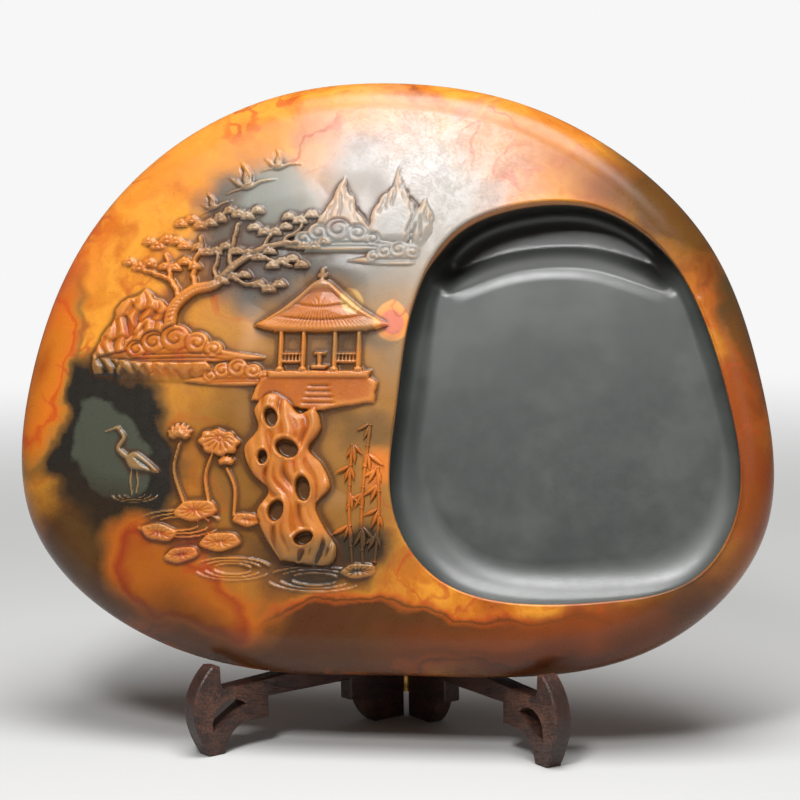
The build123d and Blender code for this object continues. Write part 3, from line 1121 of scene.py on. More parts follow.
    def assemble(self, rows: list, centre: Array) -> bpy.types.Object:
        """Join the rings into a closed mesh."""
        n = self.columns
        b = self.block
        points = [b.place(*(np.array([c]) for c in (*centre, b.floor_level - 0.5)))]
        slate = [np.ones(1)]
        for ring, w, cut in rows:
            points.append(b.place(ring[:, 0], ring[:, 1], np.broadcast_to(w, (n,))))
            slate.append(np.full(n, cut))
        points.append(b.place(np.zeros(1), np.zeros(1), np.array([-b.back_crown])))
        slate.append(np.zeros(1))
        count = len(rows)
        i = np.arange(n)
        j = (i + 1) % n
        faces: list = [(0, int(1 + a), int(1 + c)) for a, c in zip(i, j)]
        for k in range(count - 1):
            low, high = 1 + k * n, 1 + (k + 1) * n
            faces += np.stack([low + i, high + i, high + j, low + j], -1).tolist()
        end = 1 + count * n
        top = 1 + (count - 1) * n
        faces += [(int(top + a), end, int(top + c)) for a, c in zip(i, j)]
        body = new_mesh("stone_body", np.concatenate(points), faces)
        set_attribute(body, "slate", np.concatenate(slate))
        # Rings past the basin carry no painted shade or painted highlight.
        unshaded = np.zeros(1 + n * (count - len(self.ink)))
        set_attribute(body, "ink", np.concatenate([np.zeros(1), *self.ink, unshaded]))
        return body

    def carved_face(self) -> bpy.types.Object:
        """Build the carved part of the face as one fine closed mesh that lies flush in the body.

        Returns:
            The face, with the attributes skin and hollow.
        """
        carving = CarvedField()
        Landscape(carving).cut()
        b = self.block
        u, v = carving.u, carving.v
        distance = self.face_distance(u, v)
        fade = smoothstep(0.0, self.face_fade, -distance)
        w = b.dome(u, v) + self.face_gap * (2 * fade - 1) + carving.height * fade
        inside = distance < 0
        cells = inside[:-1, :-1] & inside[1:, :-1] & inside[:-1, 1:] & inside[1:, 1:]
        index = -np.ones(u.shape, np.int64)
        used = np.zeros(u.shape, bool)
        low, high = slice(None, -1), slice(1, None)
        corners = ((low, low), (low, high), (high, high), (high, low))
        for corner in corners:
            used[corner] |= cells
        index[used] = np.arange(used.sum())
        quads = np.stack([index[corner][cells] for corner in corners], -1)
        points = b.place(u[used], v[used], w[used])
        edges = np.concatenate([quads[:, [k, (k + 1) % 4]] for k in range(4)])
        keys = edges[:, 0] * len(points) + edges[:, 1]
        back = edges[:, 1] * len(points) + edges[:, 0]
        border = edges[~np.isin(keys, back)]
        ring = np.unique(border)
        under = {int(k): len(points) + m for m, k in enumerate(ring)}
        skirt = b.place(u[used][ring], v[used][ring], w[used][ring] - self.face_depth)
        middle = len(points) + len(skirt)
        hub = b.place(*(np.array([c]) for c in (*self.face_hub, b.front_crown - 10.0)))
        points = np.concatenate([points, skirt, hub])
        faces = quads.tolist()
        for p, q in border.tolist():
            faces.append([q, p, under[p], under[q]])
            faces.append([under[q], under[p], middle])
        face = new_mesh("carved_face", points, faces)
        flags = np.arange(len(face.data.polygons)) >= len(quads)
        set_attribute(face, "sharp_face", flags, "BOOLEAN", "FACE")
        hidden = np.zeros(len(skirt) + 1)
        near = carving.height - carving.soften(self.crease_reach)
        wide = carving.height - carving.soften(self.hollow_reach)
        # hollow is the height less its blurred copies; the finish turns it into painted shade and
        # painted highlight.
        for name, values in (("skin", carving.skin), ("hollow", near + 0.35 * wide)):
            set_attribute(face, name, np.concatenate([(values * fade)[used], hidden]))
        return face


class Sheet:
    """Short calls for adding and joining nodes in one tree."""

    def __init__(self, tree: bpy.types.NodeTree) -> None:
        self.tree = tree

    def add(self, kind: str, inputs: dict | None = None, **props: object) -> bpy.types.Node:
        """Add a node, set its properties, and set or link its inputs.

        Args:
            kind: Blender's node type.
            inputs: Values or sockets by input name or number.
            props: The node's own properties.

        Returns:
            The node.
        """
        node = self.tree.nodes.new(kind)
        for key, value in props.items():
            setattr(node, key, value)
        self.feed(node, inputs or {})
        return node

    def feed(self, node: bpy.types.Node, inputs: dict) -> None:
        """Set or link a node's inputs, given by name or number."""
        for key, value in inputs.items():
            if isinstance(value, Socket):
                self.tree.links.new(value, node.inputs[key])
            else:
                node.inputs[key].default_value = value

    def math(self, operation: str, *values: object) -> Socket:
        """Output of a Math node."""
        inputs = dict(enumerate(values))
        return self.add("ShaderNodeMath", inputs, operation=operation).outputs[0]

    def vector(self, operation: str, *values: object) -> Socket:
        """Output of a Vector Math node: its value for LENGTH, else its vector."""
        inputs = dict(enumerate(values))
        node = self.add("ShaderNodeVectorMath", inputs, operation=operation)
        return node.outputs["Value" if operation == "LENGTH" else "Vector"]

    def mix(self, factor: object, a: object, b: object, blend: str = "MIX") -> Socket:
        """Output of a colour Mix node."""
        sides = ((*side, 1.0) if isinstance(side, tuple) else side for side in (a, b))
        inputs = dict(zip((0, 6, 7), (factor, *sides)))
        node = self.add(
            "ShaderNodeMix", inputs, data_type="RGBA", blend_type=blend, clamp_factor=True
        )
        return node.outputs[2]

    def noise(
        self, vector: Socket, scale: float, detail: float = 4.0, rough: float = 0.55
    ) -> bpy.types.Node:
        """A Noise Texture on a vector."""
        inputs = {"Vector": vector, "Scale": scale, "Detail": detail, "Roughness": rough}
        return self.add("ShaderNodeTexNoise", inputs)

    def range(
        self, value: Socket, low: float, high: float, to_low: float = 0.0, to_high: float = 1.0
    ) -> Socket:
        """Output of a Map Range node with eased ends."""
        inputs = {0: value, 1: low, 2: high, 3: to_low, 4: to_high}
        node = self.add("ShaderNodeMapRange", inputs, interpolation_type="SMOOTHSTEP")
        return node.outputs[0]

    def attribute(self, name: str) -> Socket:
        """A named attribute of the mesh."""
        return self.add("ShaderNodeAttribute", attribute_name=name).outputs["Fac"]

    def instances(
        self, mesh: Socket, instance: Socket, rotation: Socket, scale: object = (1.0, 1.0, 1.0)
    ) -> Socket:
        """Instances on the vertices of a mesh, in Geometry Nodes."""
        cloud = self.add("GeometryNodeMeshToPoints", {0: mesh}).outputs[0]
        inputs = {"Points": cloud, "Instance": instance, "Rotation": rotation, "Scale": scale}
        return self.add("GeometryNodeInstanceOnPoints", inputs).outputs[0]

    def bump(self, strength: float, distance: float, height: Socket) -> Socket:
        """Normal of a Bump node."""
        inputs = {"Strength": strength, "Distance": distance, "Height": height}
        return self.add("ShaderNodeBump", inputs).outputs[0]

    def ramp(self, value: Socket, stops: Stops) -> bpy.types.Node:
        """A Color Ramp with (position, colour, alpha) stops."""
        node = self.add("ShaderNodeValToRGB", {0: value})
        ramp = node.color_ramp
        while len(ramp.elements) > 1:
            ramp.elements.remove(ramp.elements[-1])
        for k, (position, colour, alpha) in enumerate(stops):
            element = ramp.elements[0] if k == 0 else ramp.elements.new(position)
            element.position = position
            element.color = (*colour, alpha)
        return node


def group(
    name: str, inputs: dict[str, str], outputs: dict[str, str], tree_kind: str = "ShaderNodeTree"
) -> tuple[Sheet, bpy.types.Node, bpy.types.Node]:
    """Start a node group.

    Args:
        name: The group's name.
        inputs: Kind of each input by its name, such as Vector.
        outputs: The same for the outputs.
        tree_kind: ShaderNodeTree or GeometryNodeTree.

    Returns:
        The sheet, the group's input node and its output node.
    """
    tree = bpy.data.node_groups.new(name, tree_kind)
    for way, sockets in (("INPUT", inputs), ("OUTPUT", outputs)):
        for label, kind in sockets.items():
            tree.interface.new_socket(name=label, in_out=way, socket_type=f"NodeSocket{kind}")
    sheet = Sheet(tree)
    return sheet, sheet.add("NodeGroupInput"), sheet.add("NodeGroupOutput")


def run_nodes(
    holder: bpy.types.Object, tree: bpy.types.NodeTree, values: dict[str, object]
) -> bpy.types.Object:
    """Run a Geometry Nodes group on an object and keep the result as its plain mesh.

    Args:
        holder: The object.
        tree: The group.
        values: Values of the group's inputs by name.

    Returns:
        The object, with its new mesh and no modifier.
    """
    modifier = holder.modifiers.new(tree.name, "NODES")
    modifier.node_group = tree
    for item in tree.interface.items_tree:
        if item.name in values:
            modifier[item.identifier] = values[item.name]
    bpy.context.view_layer.update()
    graph = bpy.context.evaluated_depsgraph_get()
    mesh = bpy.data.meshes.new_from_object(holder.evaluated_get(graph))
    holder.modifiers.clear()
    holder.data = mesh
    return holder


def new_material(name: str) -> tuple[bpy.types.Material, Sheet, bpy.types.Node, Socket]:
    """Start a material.

    Returns:
        The material, its sheet, its Principled node and its Object coordinates.
    """
    material = bpy.data.materials.new(name)
    material.use_nodes = True
    sheet = Sheet(material.node_tree)
    shader = material.node_tree.nodes["Principled BSDF"]
    return material, sheet, shader, sheet.add("ShaderNodeTexCoord").outputs["Object"]


class Effects:
    """Shader groups that several finishes share, each built once."""

    def __init__(self) -> None:
        self.patch = self.build_patch()
        self.grime = self.build_grime()
        self.grain = self.build_grain()

    @staticmethod
    def build_patch() -> bpy.types.NodeTree:
        """Distance from the middle of an oval patch: 0 in the middle, 1 at its edge."""
        names = ("Vector", "Centre", "Turn", "Half sizes")
        s, i, o = group("oval_patch", dict.fromkeys(names, "Vector"), {"Distance": "Float"})
        inputs = {k: i.outputs[name] for k, name in enumerate(names)}
        place = s.add("ShaderNodeMapping", inputs, vector_type="TEXTURE").outputs[0]
        flat = s.vector("MULTIPLY", place, (1.0, 1.0, 0.0))
        s.feed(o, {"Distance": s.vector("LENGTH", flat)})
        return s.tree

    @staticmethod
    def build_grime() -> bpy.types.NodeTree:
        """Fine uneven wear: a mask and a height from two sizes of noise."""
        s, i, o = group(
            "uneven_wear",
            {"Vector": "Vector", "Scale": "Float"},
            {"Mask": "Float", "Height": "Float"},
        )
        vector, scale = i.outputs[0], i.outputs[1]
        coarse = s.noise(vector, scale, 5.0, 0.6).outputs[0]
        fine = s.noise(vector, s.math("MULTIPLY", scale, 7.0), 3.0, 0.5).outputs[0]
        mask = s.range(s.math("MULTIPLY", coarse, fine), 0.16, 0.36)
        height = s.math("ADD", s.math("MULTIPLY", coarse, 0.6), s.math("MULTIPLY", fine, 0.4))
        s.feed(o, {"Mask": mask, "Height": height})
        return s.tree

    @staticmethod
    def build_grain() -> bpy.types.NodeTree:
        """Coarse open wood grain along X: bands, pores and a height."""
        outputs = dict.fromkeys(("Bands", "Pores", "Height"), "Float")
        s, i, o = group("open_grain", {"Vector": "Vector"}, outputs)
        vector = i.outputs[0]
        warp = s.noise(vector, 14.0, 2.0, 0.5).outputs["Color"]
        bent = s.vector("ADD", vector, s.vector("MULTIPLY", warp, (0.010, 0.012, 0.010)))
        along = s.vector("MULTIPLY", bent, (22.0, 420.0, 420.0))
        band = s.range(s.noise(along, 1.0, 3.0, 0.6).outputs[0], 0.34, 0.66)
        thin = s.vector("MULTIPLY", bent, (85.0, 2300.0, 2300.0))
        pore = s.range(s.noise(thin, 1.0, 2.0, 0.5).outputs[0], 0.56, 0.68)
        height = s.math("SUBTRACT", s.math("MULTIPLY", band, 0.4), pore)
        s.feed(o, {"Bands": band, "Pores": pore, "Height": height})
        return s.tree


@dataclass(frozen=True)
class Patch:
    """One natural colour patch of the stone: where it lies and the rings it is made of.

    centre and half are in millimetres on the face; stops run from the middle (0) to beyond the
    edge (the patch's edge is at half of the ramp).
    """

    centre: Point2
    half: Point2
    stops: Stops
    turn: float = 0.0
    warp: float = 1.0


ORANGE = srgb(186, 104, 26)
BRIGHT = srgb(214, 142, 44)
OCHRE = srgb(166, 106, 40)
OLIVE = srgb(118, 82, 36)
RUST = srgb(136, 60, 18)
RED = srgb(168, 70, 24)
BROWN = srgb(70, 38, 16)
SLATE = srgb(66, 69, 58)
PALE = srgb(128, 130, 122)
BLACK = srgb(34, 30, 25)
TAN = srgb(172, 126, 66)
ROSE = srgb(196, 108, 82)


def solid(colour: Colour, edge: float, strength: float) -> Stops:
    """Stops of a plain patch with a soft edge."""
    return ((0.0, colour, strength), (0.5 - edge, colour, strength), (0.5 + edge, colour, 0.0))


@dataclass(frozen=True)
class StoneFinish:
    """The block's finish: banded orange skin over olive, and the basin ground to slate."""

    ground_patches: tuple[Patch, ...] = (
        Patch((-40, -38), (56, 74), solid(OLIVE, 0.2, 0.9), 8),
        Patch((-8, -10), (30, 66), solid(srgb(150, 106, 52), 0.22, 0.75), 4),
        Patch((-34, 30), (48, 22), solid(TAN, 0.16, 0.55), 12),
    )
    patches: tuple[Patch, ...] = (
        Patch((-62, 66), (30, 34), solid(srgb(84, 82, 76), 0.12, 0.95), 20),
        Patch((-48, 76), (22, 26), solid(PALE, 0.10, 0.85), 25),
        Patch((-22, 50), (50, 17), solid(srgb(86, 84, 80), 0.18, 0.95), 10),
        Patch((8, 84), (46, 36), solid(srgb(150, 150, 147), 0.22, 0.9), -10),
        Patch((28, 62), (18, 30), solid(srgb(140, 136, 128), 0.2, 0.8), -18),
        Patch((-30, 52), (22, 5.5), solid(PALE, 0.14, 0.7), 4),
        Patch((10, 22), (18, 30), solid(srgb(120, 108, 88), 0.24, 0.55), 12),
        Patch(
            (-127, -40), (34, 50),
            (
                (0.0, SLATE, 1.0), (0.26, SLATE, 1.0), (0.29, BLACK, 1.0), (0.42, BLACK, 1.0),
                (0.47, srgb(92, 66, 34), 0.9), (0.56, OLIVE, 0.0),
            ),
            18,
        ),
        # Darker towards the bottom edge: partly the stone's own colour, partly painted shade where
        # the face turns down from the top light.
        Patch((-140, -88), (44, 30), solid(srgb(44, 32, 20), 0.2, 0.92), -38),
        Patch(
            (-164, 2), (22, 52),
            (
                (0.0, srgb(160, 74, 20), 1.0), (0.16, ORANGE, 1.0), (0.33, srgb(196, 104, 26), 1.0),
                (0.36, srgb(180, 72, 22), 1.0), (0.39, ORANGE, 1.0), (0.44, OCHRE, 1.0),
                (0.48, OLIVE, 0.8), (0.54, OLIVE, 0.0),
            ),
            -14,
        ),
        Patch((-24, -88), (30, 17), solid(srgb(44, 38, 30), 0.12, 0.95), 6),
        Patch(
            (4, 21.5), (8.5, 9.5),
            (
                (0.0, ROSE, 1.0), (0.28, ROSE, 1.0), (0.33, srgb(228, 138, 62), 1.0),
                (0.46, srgb(226, 150, 78), 0.9), (0.52, TAN, 0.0),
            ),
            12, 0.22,
        ),
        Patch((-15, 30), (5.6, 5.6), solid(srgb(196, 158, 96), 0.05, 0.9), 0, 0.25),
        Patch((-16, 12), (20, 6.5), solid(srgb(84, 72, 54), 0.24, 0.75), 20),
        Patch((-6, -28), (24, 5), solid(srgb(96, 72, 42), 0.26, 0.7), 6),
        Patch((0, -42), (11, 8), solid(srgb(206, 116, 44), 0.2, 0.85), 10),
        # Darker towards the bottom edge: partly the stone's own brown, partly painted shade where
        # the face turns down from the top light.
        Patch(
            (-12, -124), (150, 17),
            (
                (0.0, BROWN, 0.97), (0.30, BROWN, 0.95), (0.38, RUST, 0.9), (0.42, BROWN, 0.9),
                (0.48, RED, 0.75), (0.58, ORANGE, 0.0),
            ),
            2,
        ),
        Patch(
            (-92, -100), (46, 19),
            (
                (0.0, srgb(132, 70, 20), 0.95), (0.26, srgb(158, 84, 20), 0.95),
                (0.36, srgb(142, 50, 18), 0.9), (0.42, srgb(170, 88, 22), 0.9), (0.56, OLIVE, 0.0),
            ),
            -22,
        ),
        # Darker towards the bottom edge: partly the stone's own colour, partly painted shade.
        Patch((96, -116), (74, 12), solid(srgb(118, 56, 20), 0.28, 0.85), 10),
        Patch((152, -104), (34, 26), solid(srgb(66, 38, 20), 0.26, 0.85), 34),
        Patch((84, 93), (36, 15), solid(srgb(150, 80, 26), 0.3, 0.7), -24),
        Patch((130, 72), (42, 25), solid(srgb(74, 48, 18), 0.24, 0.92), -36),
        Patch((168, 28), (15, 40), solid(srgb(70, 56, 30), 0.16, 0.9), 10),
        Patch((163, -30), (9, 32), solid(RED, 0.26, 0.75), 6),
        Patch((120, 98), (36, 8), solid(srgb(88, 54, 26), 0.22, 0.85), -38),
        Patch((-150, 62), (12, 40), solid(srgb(196, 84, 34), 0.3, 0.7), -34),
        Patch((-90, 104), (40, 15), solid(srgb(216, 136, 52), 0.3, 0.7), 26),
        Patch((168, -50), (22, 60), solid(srgb(124, 58, 20), 0.3, 0.85), 14),
        # Darker towards the bottom edge: partly the stone's own colour, partly painted shade.
        Patch((-86, -118), (48, 12), solid(srgb(76, 42, 18), 0.3, 0.8), -16),
        Patch((84, -136), (84, 10), solid(srgb(54, 28, 14), 0.3, 0.85), 8),
    )
    roughness: float = 0.30
    bump: float = 0.05
    bump_distance: float = 0.0006
    tool_marks: float = 4.0
    tool_mark_scale: float = 0.75
    swing: Point3 = (44.0, 44.0, 0.0)
    shake: Point3 = (11.0, 11.0, 0.0)
    front_band: Point2 = (-12.0, -4.0)
    back_band: Point2 = (-17.0, -9.0)
    back_patches: tuple[Patch, ...] = (
        Patch((60, 40), (70, 46), solid(OLIVE, 0.22, 0.9), 20),
        Patch(
            (-90, -10), (44, 60),
            (
                (0.0, SLATE, 0.95), (0.24, SLATE, 0.95), (0.30, BLACK, 0.95), (0.40, BROWN, 0.9),
                (0.47, RED, 0.8), (0.56, ORANGE, 0.0),
            ),
            -16,
        ),
        Patch((20, -70), (90, 30), solid(BROWN, 0.26, 0.85), 6),
        Patch(
            (110, -20), (26, 40),
            (
                (0.0, BRIGHT, 0.9), (0.28, BRIGHT, 0.9), (0.36, RED, 0.85), (0.44, BRIGHT, 0.8),
                (0.54, OCHRE, 0.0),
            ),
            24,
        ),
        Patch((-20, 84), (60, 22), solid(TAN, 0.24, 0.7), -8),
    )

    def build(self, effects: Effects, block: Block) -> bpy.types.Material:
        """Make the material.

        Args:
            effects: The shared shader groups.
            block: Where the stone stands, for the face's own coordinates.

        Returns:
            The stone's material.
        """
        material, s, shader, coordinates = new_material("ink_stone_skin")
        place = (0.0, block.setback * MM, block.centre_height * MM)
        lean = (math.radians(90 - block.lean), 0.0, 0.0)
        inputs = {0: coordinates, 1: place, 2: lean, 3: (MM, MM, MM)}
        face = s.add("ShaderNodeMapping", inputs, vector_type="TEXTURE").outputs[0]
        broad = s.noise(face, 0.020, 2.5, 0.5)
        fine = s.noise(face, 0.085, 3.0, 0.55)
        drift = []
        for noise, reach in ((broad, self.swing), (fine, self.shake)):
            middle = s.vector("SUBTRACT", noise.outputs["Color"], (0.5, 0.5, 0.5))
            drift.append(s.vector("MULTIPLY", middle, reach))
        bent = s.vector("ADD", face, s.vector("ADD", *drift))
        skin_mask, hollow = s.attribute("skin"), s.attribute("hollow")
        depth = s.add("ShaderNodeSeparateXYZ", {0: face}).outputs["Z"]
        front = s.range(depth, *self.front_band)
        back = s.math("SUBTRACT", 1.0, s.range(depth, *self.back_band))

        def lay_all(under: Socket, patches: Sequence[Patch], side: Socket) -> Socket:
            for patch in patches:
                under = self.lay(s, effects, under, face, bent, patch, side)
            return under

        colour = lay_all(self.skin(s, face, bent), self.ground_patches, front)
        warm = s.mix(s.noise(face, 0.09, 4.0).outputs[0], srgb(184, 98, 22), srgb(148, 70, 20))
        colour = s.mix(s.math("MULTIPLY", skin_mask, 0.86), colour, warm)
        colour = lay_all(colour, self.patches, front)
        colour = lay_all(colour, self.back_patches, back)
        colour = self.veins(s, colour, bent)
        wear = s.add("ShaderNodeGroup", {"Vector": face, "Scale": 0.16}, node_tree=effects.grime)
        colour = s.mix(
            s.math("MULTIPLY", wear.outputs["Mask"], 0.12), colour, srgb(240, 190, 120), "MULTIPLY"
        )
        # Painted shade in the carving's creases and painted highlight on its raised edges, both
        # from the hollow attribute.
        painted_crease_shade = s.range(hollow, -0.10, -0.55, 0.0, 0.72)
        colour = s.mix(painted_crease_shade, colour, srgb(70, 40, 20))
        crest = s.range(hollow, 0.08, 0.5, 0.0, 0.24)
        colour = s.mix(crest, colour, srgb(232, 166, 88))
        colour, slate = self.basin(s, colour, face)
        polish = s.math("MULTIPLY_ADD", wear.outputs["Mask"], 0.10, self.roughness - 0.03)
        depth_of_marks = s.math("MULTIPLY", skin_mask, self.tool_marks)
        marks = s.noise(face, self.tool_mark_scale, 3.0).outputs[0]
        marks = s.math("MULTIPLY", marks, depth_of_marks)
        height = s.math("ADD", wear.outputs["Height"], marks)
        s.feed(shader, {
            "Base Color": colour,
            "Roughness": s.math("ADD", polish, s.math("MULTIPLY", slate, 0.04)),
            "Coat Weight": s.math("MULTIPLY", slate, 0.45),
            "Coat Roughness": 0.3,
            "IOR": 1.54,
            "Specular IOR Level": 0.3,
            "Normal": s.bump(self.bump, self.bump_distance, height),
        })
        return material

    @staticmethod
    def skin(s: Sheet, face: Socket, bent: Socket) -> Socket:
        """The orange skin before its patches: clouds of ochre and bright orange."""
        clouds = s.noise(bent, 0.030, 6.0, 0.6).outputs[0]
        tones = ((0.28, RUST), (0.42, ORANGE), (0.56, BRIGHT), (0.66, ORANGE), (0.78, OCHRE))
        base = s.ramp(clouds, tuple((place, tone, 1.0) for place, tone in tones))
        spots = s.noise(face, 0.55, 3.0, 0.7).outputs[0]
        return s.mix(s.range(spots, 0.56, 0.72, 0.0, 0.30), base.outputs[0], srgb(142, 80, 30))

    @staticmethod
    def lay(
        s: Sheet,
        effects: Effects,
        under: Socket,
        face: Socket,
        bent: Socket,
        patch: Patch,
        side: Socket,
    ) -> Socket:
        """Lay one patch over what is there.

        Args:
            s: The material's sheet.
            effects: The shared shader groups.
            under: The colour so far.
            face: The face's own coordinates.
            bent: The same, bent by the slow noise.
            patch: The patch.
            side: Mask of the side of the block that it lies on.

        Returns:
            The new colour.
        """
        inputs = {
            "Vector": s.mix(patch.warp, face, bent) if patch.warp < 1 else bent,
            "Centre": (*patch.centre, 0.0),
            "Turn": (0.0, 0.0, math.radians(patch.turn)),
            "Half sizes": (*patch.half, 1.0),
        }
        distance = s.add("ShaderNodeGroup", inputs, node_tree=effects.patch).outputs[0]
        rings = s.ramp(s.math("MULTIPLY", distance, 0.5), patch.stops)
        return s.mix(s.math("MULTIPLY", rings.outputs["Alpha"], side), under, rings.outputs[0])

    @staticmethod
    def veins(s: Sheet, under: Socket, bent: Socket) -> Socket:
        """Thin red and rust lines that follow the slow bending of the colour."""
        levels = s.noise(bent, 0.014, 3.0, 0.5).outputs[0]
        wave = s.math("SINE", s.math("MULTIPLY", levels, 74.0))
        line = s.range(wave, 0.80, 0.99)
        place = s.range(s.noise(bent, 0.02, 2.0).outputs[0], 0.46, 0.62)
        warmth = s.add("ShaderNodeSeparateColor", {0: under})
        warm = s.range(s.math("SUBTRACT", warmth.outputs[0], warmth.outputs[2]), 0.14, 0.34)
        mask = s.math("MULTIPLY", s.math("MULTIPLY", line, place), s.math("MULTIPLY", warm, 0.62))
        return s.mix(mask, under, srgb(168, 62, 28))

    @staticmethod
    def basin(s: Sheet, under: Socket, face: Socket) -> tuple[Socket, Socket]:
        """Lay the ground slate of the basin over the skin, with a thin pale line at the rim."""
        cut = s.attribute("slate")
        haze = s.noise(face, 0.028, 3.0, 0.5).outputs[0]
        slate = s.mix(s.range(haze, 0.40, 0.62), srgb(67, 70, 67), srgb(54, 57, 55))
        stipple = s.noise(face, 1.6, 2.0, 0.6).outputs[0]
        slate = s.mix(s.range(stipple, 0.50, 0.70, 0.0, 0.14), slate, srgb(60, 62, 58))
        painted_shading = s.attribute("ink")
        # Painted shade: dark slate in the pool and on the left wall.
        slate = s.mix(s.math("MULTIPLY", painted_shading, 0.9), slate, srgb(20, 18, 15))
        # Painted highlight: pale slate on the slope below the crest and along the bottom cove.
        slate = s.mix(s.math("MULTIPLY", painted_shading, -0.62), slate, srgb(112, 114, 113))
        depth = s.range(cut, 0.12, 0.62)
        rim = s.mix(s.range(cut, 0.02, 0.16), under, srgb(214, 150, 104))
        rim = s.mix(s.range(cut, 0.30, 0.50), rim, srgb(52, 44, 34))
        return s.mix(s.range(cut, 0.50, 0.70), rim, slate), depth


@dataclass(frozen=True)
class WoodFinish:
    """Dark open-grained wood with rubbed edges, its grain running along a board."""

    side: Side
    dark: Colour = srgb(34, 19, 14)
    middle: Colour = srgb(54, 30, 22)
    light: Colour = srgb(104, 66, 48)
    roughness: float = 0.42
    grain_slope: float = 14.0

    def build(self, effects: Effects, stand: "Stand") -> bpy.types.Material:
        """Make the material of one board.

        Args:
            effects: The shared shader groups.
            stand: The stand's sizes, for the board's own direction.

        Returns:
            The board's material.
        """
        name = f"stand_wood_{self.side.name.lower()}"
        material, s, shader, coordinates = new_material(name)
        angle = math.radians(-90 + self.side.value * stand.half_angle)
        turn = (0.0, math.radians(-self.grain_slope), angle)
        inputs = {0: coordinates, 1: (0.0, stand.hinge_setback * MM, 0.0), 2: turn}
        board = s.add("ShaderNodeMapping", inputs, vector_type="TEXTURE").outputs[0]
        grain = s.add("ShaderNodeGroup", {"Vector": board}, node_tree=effects.grain)
        colour = s.mix(grain.outputs["Bands"], self.dark, self.middle)
        colour = s.mix(s.math("MULTIPLY", grain.outputs["Pores"], 0.75), colour, srgb(22, 12, 10))
        tone = s.noise(board, 30.0, 3.0).outputs[0]
        colour = s.mix(s.range(tone, 0.45, 0.7, 0.0, 0.30), colour, srgb(74, 36, 25))
        edge = s.add("ShaderNodeNewGeometry").outputs["Pointiness"]
        wear = s.add("ShaderNodeGroup", {"Vector": board, "Scale": 130.0}, node_tree=effects.grime)
        rubbed = s.math("MULTIPLY", s.range(edge, 0.52, 0.60), wear.outputs["Mask"])
        colour = s.mix(s.math("MULTIPLY", rubbed, 0.8), colour, self.light)
        rough = s.math("ADD", self.roughness, s.math("MULTIPLY", grain.outputs["Pores"], 0.25))
        bump = s.bump(0.7, 0.0004, grain.outputs["Height"])
        s.feed(shader, {"Base Color": colour, "Roughness": rough, "Normal": bump})
        return material


@dataclass(frozen=True)
class BrassFinish:
    """Aged brass with a dull bloom."""

    name: str
    bright: Colour = srgb(196, 152, 84)
    dull: Colour = srgb(112, 82, 46)
    roughness: float = 0.3

    def build(self, effects: Effects) -> bpy.types.Material:
        """Make the material."""
        material, s, shader, coordinates = new_material(self.name)
        inputs = {"Vector": coordinates, "Scale": 300.0}
        wear = s.add("ShaderNodeGroup", inputs, node_tree=effects.grime)
        mask = wear.outputs["Mask"]
        s.feed(shader, {
            "Base Color": s.mix(mask, self.bright, self.dull),
            "Roughness": s.math("MULTIPLY_ADD", mask, 0.25, self.roughness),
            "Metallic": 1.0,
            "Normal": s.bump(0.2, 0.0001, wear.outputs["Height"]),
        })
        return material


